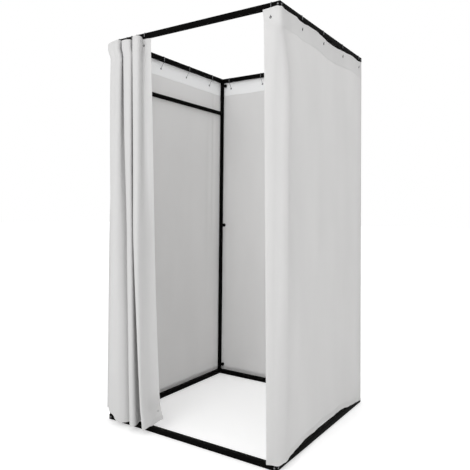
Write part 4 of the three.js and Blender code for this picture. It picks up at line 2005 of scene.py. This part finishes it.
    def hang(self, piece: bpy.types.Object) -> None:
        """Puts the place of a piece of the curtain into its mesh.

        Args:
            piece: The piece.
        """
        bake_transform(piece)

    def eyelet_places(self) -> list[tuple[str, Matrix]]:
        """Each hook's node with the place of its eyelet, whose axis is along Y.

        Returns:
            The nodes and the places.
        """
        places = []
        for node in sorted(name for name in frame["nodes"] if name.startswith("hook_door")):
            low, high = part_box(node)
            point = Vector(((low.x + high.x) / 2, self.sizes.front, self.sizes.eyelet_height))
            places.append((node, Matrix.Translation(point) @ Side.FRONT.turn))
        return places

    def build(self) -> None:
        """Makes the curtain, its header tape, its hem, its stitching and its press stud."""
        stations = self.stations()
        sheet, *extra = self.sew(self.finishes.curtain, stations, stations[2:-2], rows(0.4, self.row_count), None)
        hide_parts(self.node)
        for piece in (sheet, *extra):
            self.hang(piece)
        stud = self.press_stud(*self.stud_place)

    def press_stud(self, station: float, height: float) -> bpy.types.Object:
        """Sets the press stud that holds the curtain's leading edge shut.

        Args:
            station: Its row of folds.
            height: Its height above the floor.

        Returns:
            The stud, which goes with the leading hook.
        """
        stud = turned("door_press_stud", [
            (0.0034, 0.0), (0.0056, 0.0), (0.0060, 0.0004), (0.0058, 0.0011), (0.0048, 0.0016),
            (0.0040, 0.0014), (0.0034, 0.0017), (0.0022, 0.0021), (0.0008, 0.0023),
        ], 24)
        out = self.outward(station, height)
        place = self.surface(station, height) + out * (self.thickness / 2 - 0.0001)
        stud.data.transform(Matrix.Translation(place) @ out.to_track_quat("Z", "Y").to_matrix().to_4x4())
        return self.keep(stud, self.finishes.stud, "door_lead")


@dataclass
class Eyelets(SubAssembly):
    """The eyelets pressed through both cloths, one round each hook."""

    bore: float = 0.0024
    flange: float = 0.0056
    proud: float = 0.00055
    half_cloth: float = 0.00105

    def build(self, places: Sequence[tuple[str, Matrix]]) -> None:
        """Builds one eyelet and sets a copy of it at each hole.

        Args:
            places: The node of each hook, with the place of its hole, whose axis is along Y.
        """
        model = self.eyelet("eyelet")
        for node, place in places:
            name = node.replace("hook_", "eyelet_")
            ring = copied(model, name, place)
            self.keep(ring, self.finishes.plate, WireHooks.body(node))
        scrap(model)

    def eyelet(self, name: str) -> bpy.types.Object:
        """Builds an eyelet along Y: a barrel through the cloth with a rolled flange on each face.

        Args:
            name: The eyelet's name.

        Returns:
            The eyelet.
        """
        bore, flange, deep = self.bore, self.flange, self.half_cloth
        barrel, crest, shoulder, edge = bore + 0.0003, bore + 0.0006, flange - 0.0008, 0.0001
        shallow = deep - 0.00045
        lip, rise = deep + self.proud, shallow + self.proud
        ring = turned(name, [
            (bore, -deep), (crest, -lip), (shoulder, -lip), (flange, -deep + edge), (flange, -deep - edge / 5),
            (barrel, -deep), (barrel, shallow), (flange, shallow), (flange, shallow + edge),
            (shoulder, rise), (crest, rise), (bore, shallow), (bore, -deep),
        ], 28)
        ring.data.transform(Matrix.Rotation(-math.pi / 2, 4, "X"))
        return ring


# --------------------------------------------------------------------------- studio


@dataclass
class Studio:
    """The camera, the pale floor and the soft light."""

    place: Vector = field(default_factory=lambda: Vector((1.572, -2.438, 1.086)))
    yaw: float = 33.47
    pitch: float = 1.59
    roll: float = 0.55
    lens: float = 40.206
    shift: Pair = (0.001, -0.0789)
    sensor: float = 36.0
    floor_size: float = 80.0
    floor_drop: float = 0.0005
    floor_lift: float = 0.36
    sky: float = 0.935
    key: float = 58.0
    key_size: float = 2.2
    key_place: Vector = field(default_factory=lambda: Vector((0.6, -4.4, 2.7)))
    key_aim: Vector = field(default_factory=lambda: Vector((0.0, 0.0, 1.2)))

    def set_camera(self) -> None:
        """Sets up the camera at the viewing angle."""
        lens = bpy.data.cameras.new("view")
        lens.lens = self.lens
        lens.sensor_width = self.sensor
        lens.shift_x, lens.shift_y = self.shift
        camera = placed("view", lens)
        turn = (
            Matrix.Rotation(math.radians(self.yaw), 4, "Z")
            @ Matrix.Rotation(math.radians(90 + self.pitch), 4, "X")
            @ Matrix.Rotation(math.radians(self.roll), 4, "Z")
        )
        camera.matrix_world = Matrix.Translation(self.place) @ turn
        bpy.context.scene.camera = camera

    def set_floor(self) -> None:
        """Lays a wide pale floor that keeps the room's shadow."""
        clear_selection()
        bpy.ops.mesh.primitive_plane_add(size=self.floor_size, location=(0, 0, -self.floor_drop))
        floor = started("studio_floor")
        material, board, shader = new_material("studio_floor", {
            "Roughness": 0.9, "Specular IOR Level": 0.1, "Emission Color": (1, 1, 1, 1),
        })
        blotches = board.noise(board.add("ShaderNodeTexCoord").outputs["Object"], 0.4)
        board.join(board.ramp(blotches, ((0.3, grey(0.80)), (0.7, grey(0.83)))), shader.inputs["Base Color"])
        rays = board.add("ShaderNodeLightPath")
        seen = board.sum("MAXIMUM", rays.outputs["Is Camera Ray"], rays.outputs["Is Glossy Ray"])
        board.join(board.sum("MULTIPLY", seen, self.floor_lift), shader.inputs["Emission Strength"])
        floor.data.materials.append(material)

    def set_light(self) -> None:
        """Lights the room: an even sky and a soft lamp high at the front left."""
        scene = bpy.context.scene
        world = bpy.data.worlds.new("studio")
        world.use_nodes = True
        scene.world = world
        board = Board(world.node_tree)
        sky = world.node_tree.nodes["Background"]
        rays = board.add("ShaderNodeLightPath")
        seen = board.sum("MAXIMUM", rays.outputs["Is Camera Ray"], rays.outputs["Is Transmission Ray"])
        board.join(board.sum("ADD", board.sum("MULTIPLY", seen, 1 - self.sky), self.sky), sky.inputs["Strength"])
        sky.inputs["Color"].default_value = (1, 1, 1, 1)
        lamp = bpy.data.lights.new("key", "AREA")
        lamp.energy = self.key
        lamp.size = self.key_size
        key = placed("key", lamp)
        key.location = self.key_place
        key.rotation_euler = (self.key_aim - self.key_place).to_track_quat("-Z", "Y").to_euler()
        scene.view_settings.view_transform = "Standard"


def main() -> None:
    """Builds the studio and every part of the room in order."""
    logging.basicConfig(level=logging.INFO, format="%(name)s %(message)s")
    sizes, finishes, studio = RoomSizes(), FinishChart(), Studio()
    studio.set_camera()
    finishes.build()
    RailFrame(sizes, finishes).build()
    UprightTubes(sizes, finishes).build()
    GarmentRail(sizes, finishes).build()
    ThumbScrews(sizes, finishes).build()
    WireHooks(sizes, finishes).build()
    enclosure = EnclosureCloth(sizes, finishes)
    enclosure.build()
    curtain = DoorCurtain(sizes, finishes)
    curtain.build()
    Eyelets(sizes, finishes).build([*enclosure.eyelet_places(), *curtain.eyelet_places()])
    studio.set_floor()
    studio.set_light()


if __name__ == "__main__":
    main()
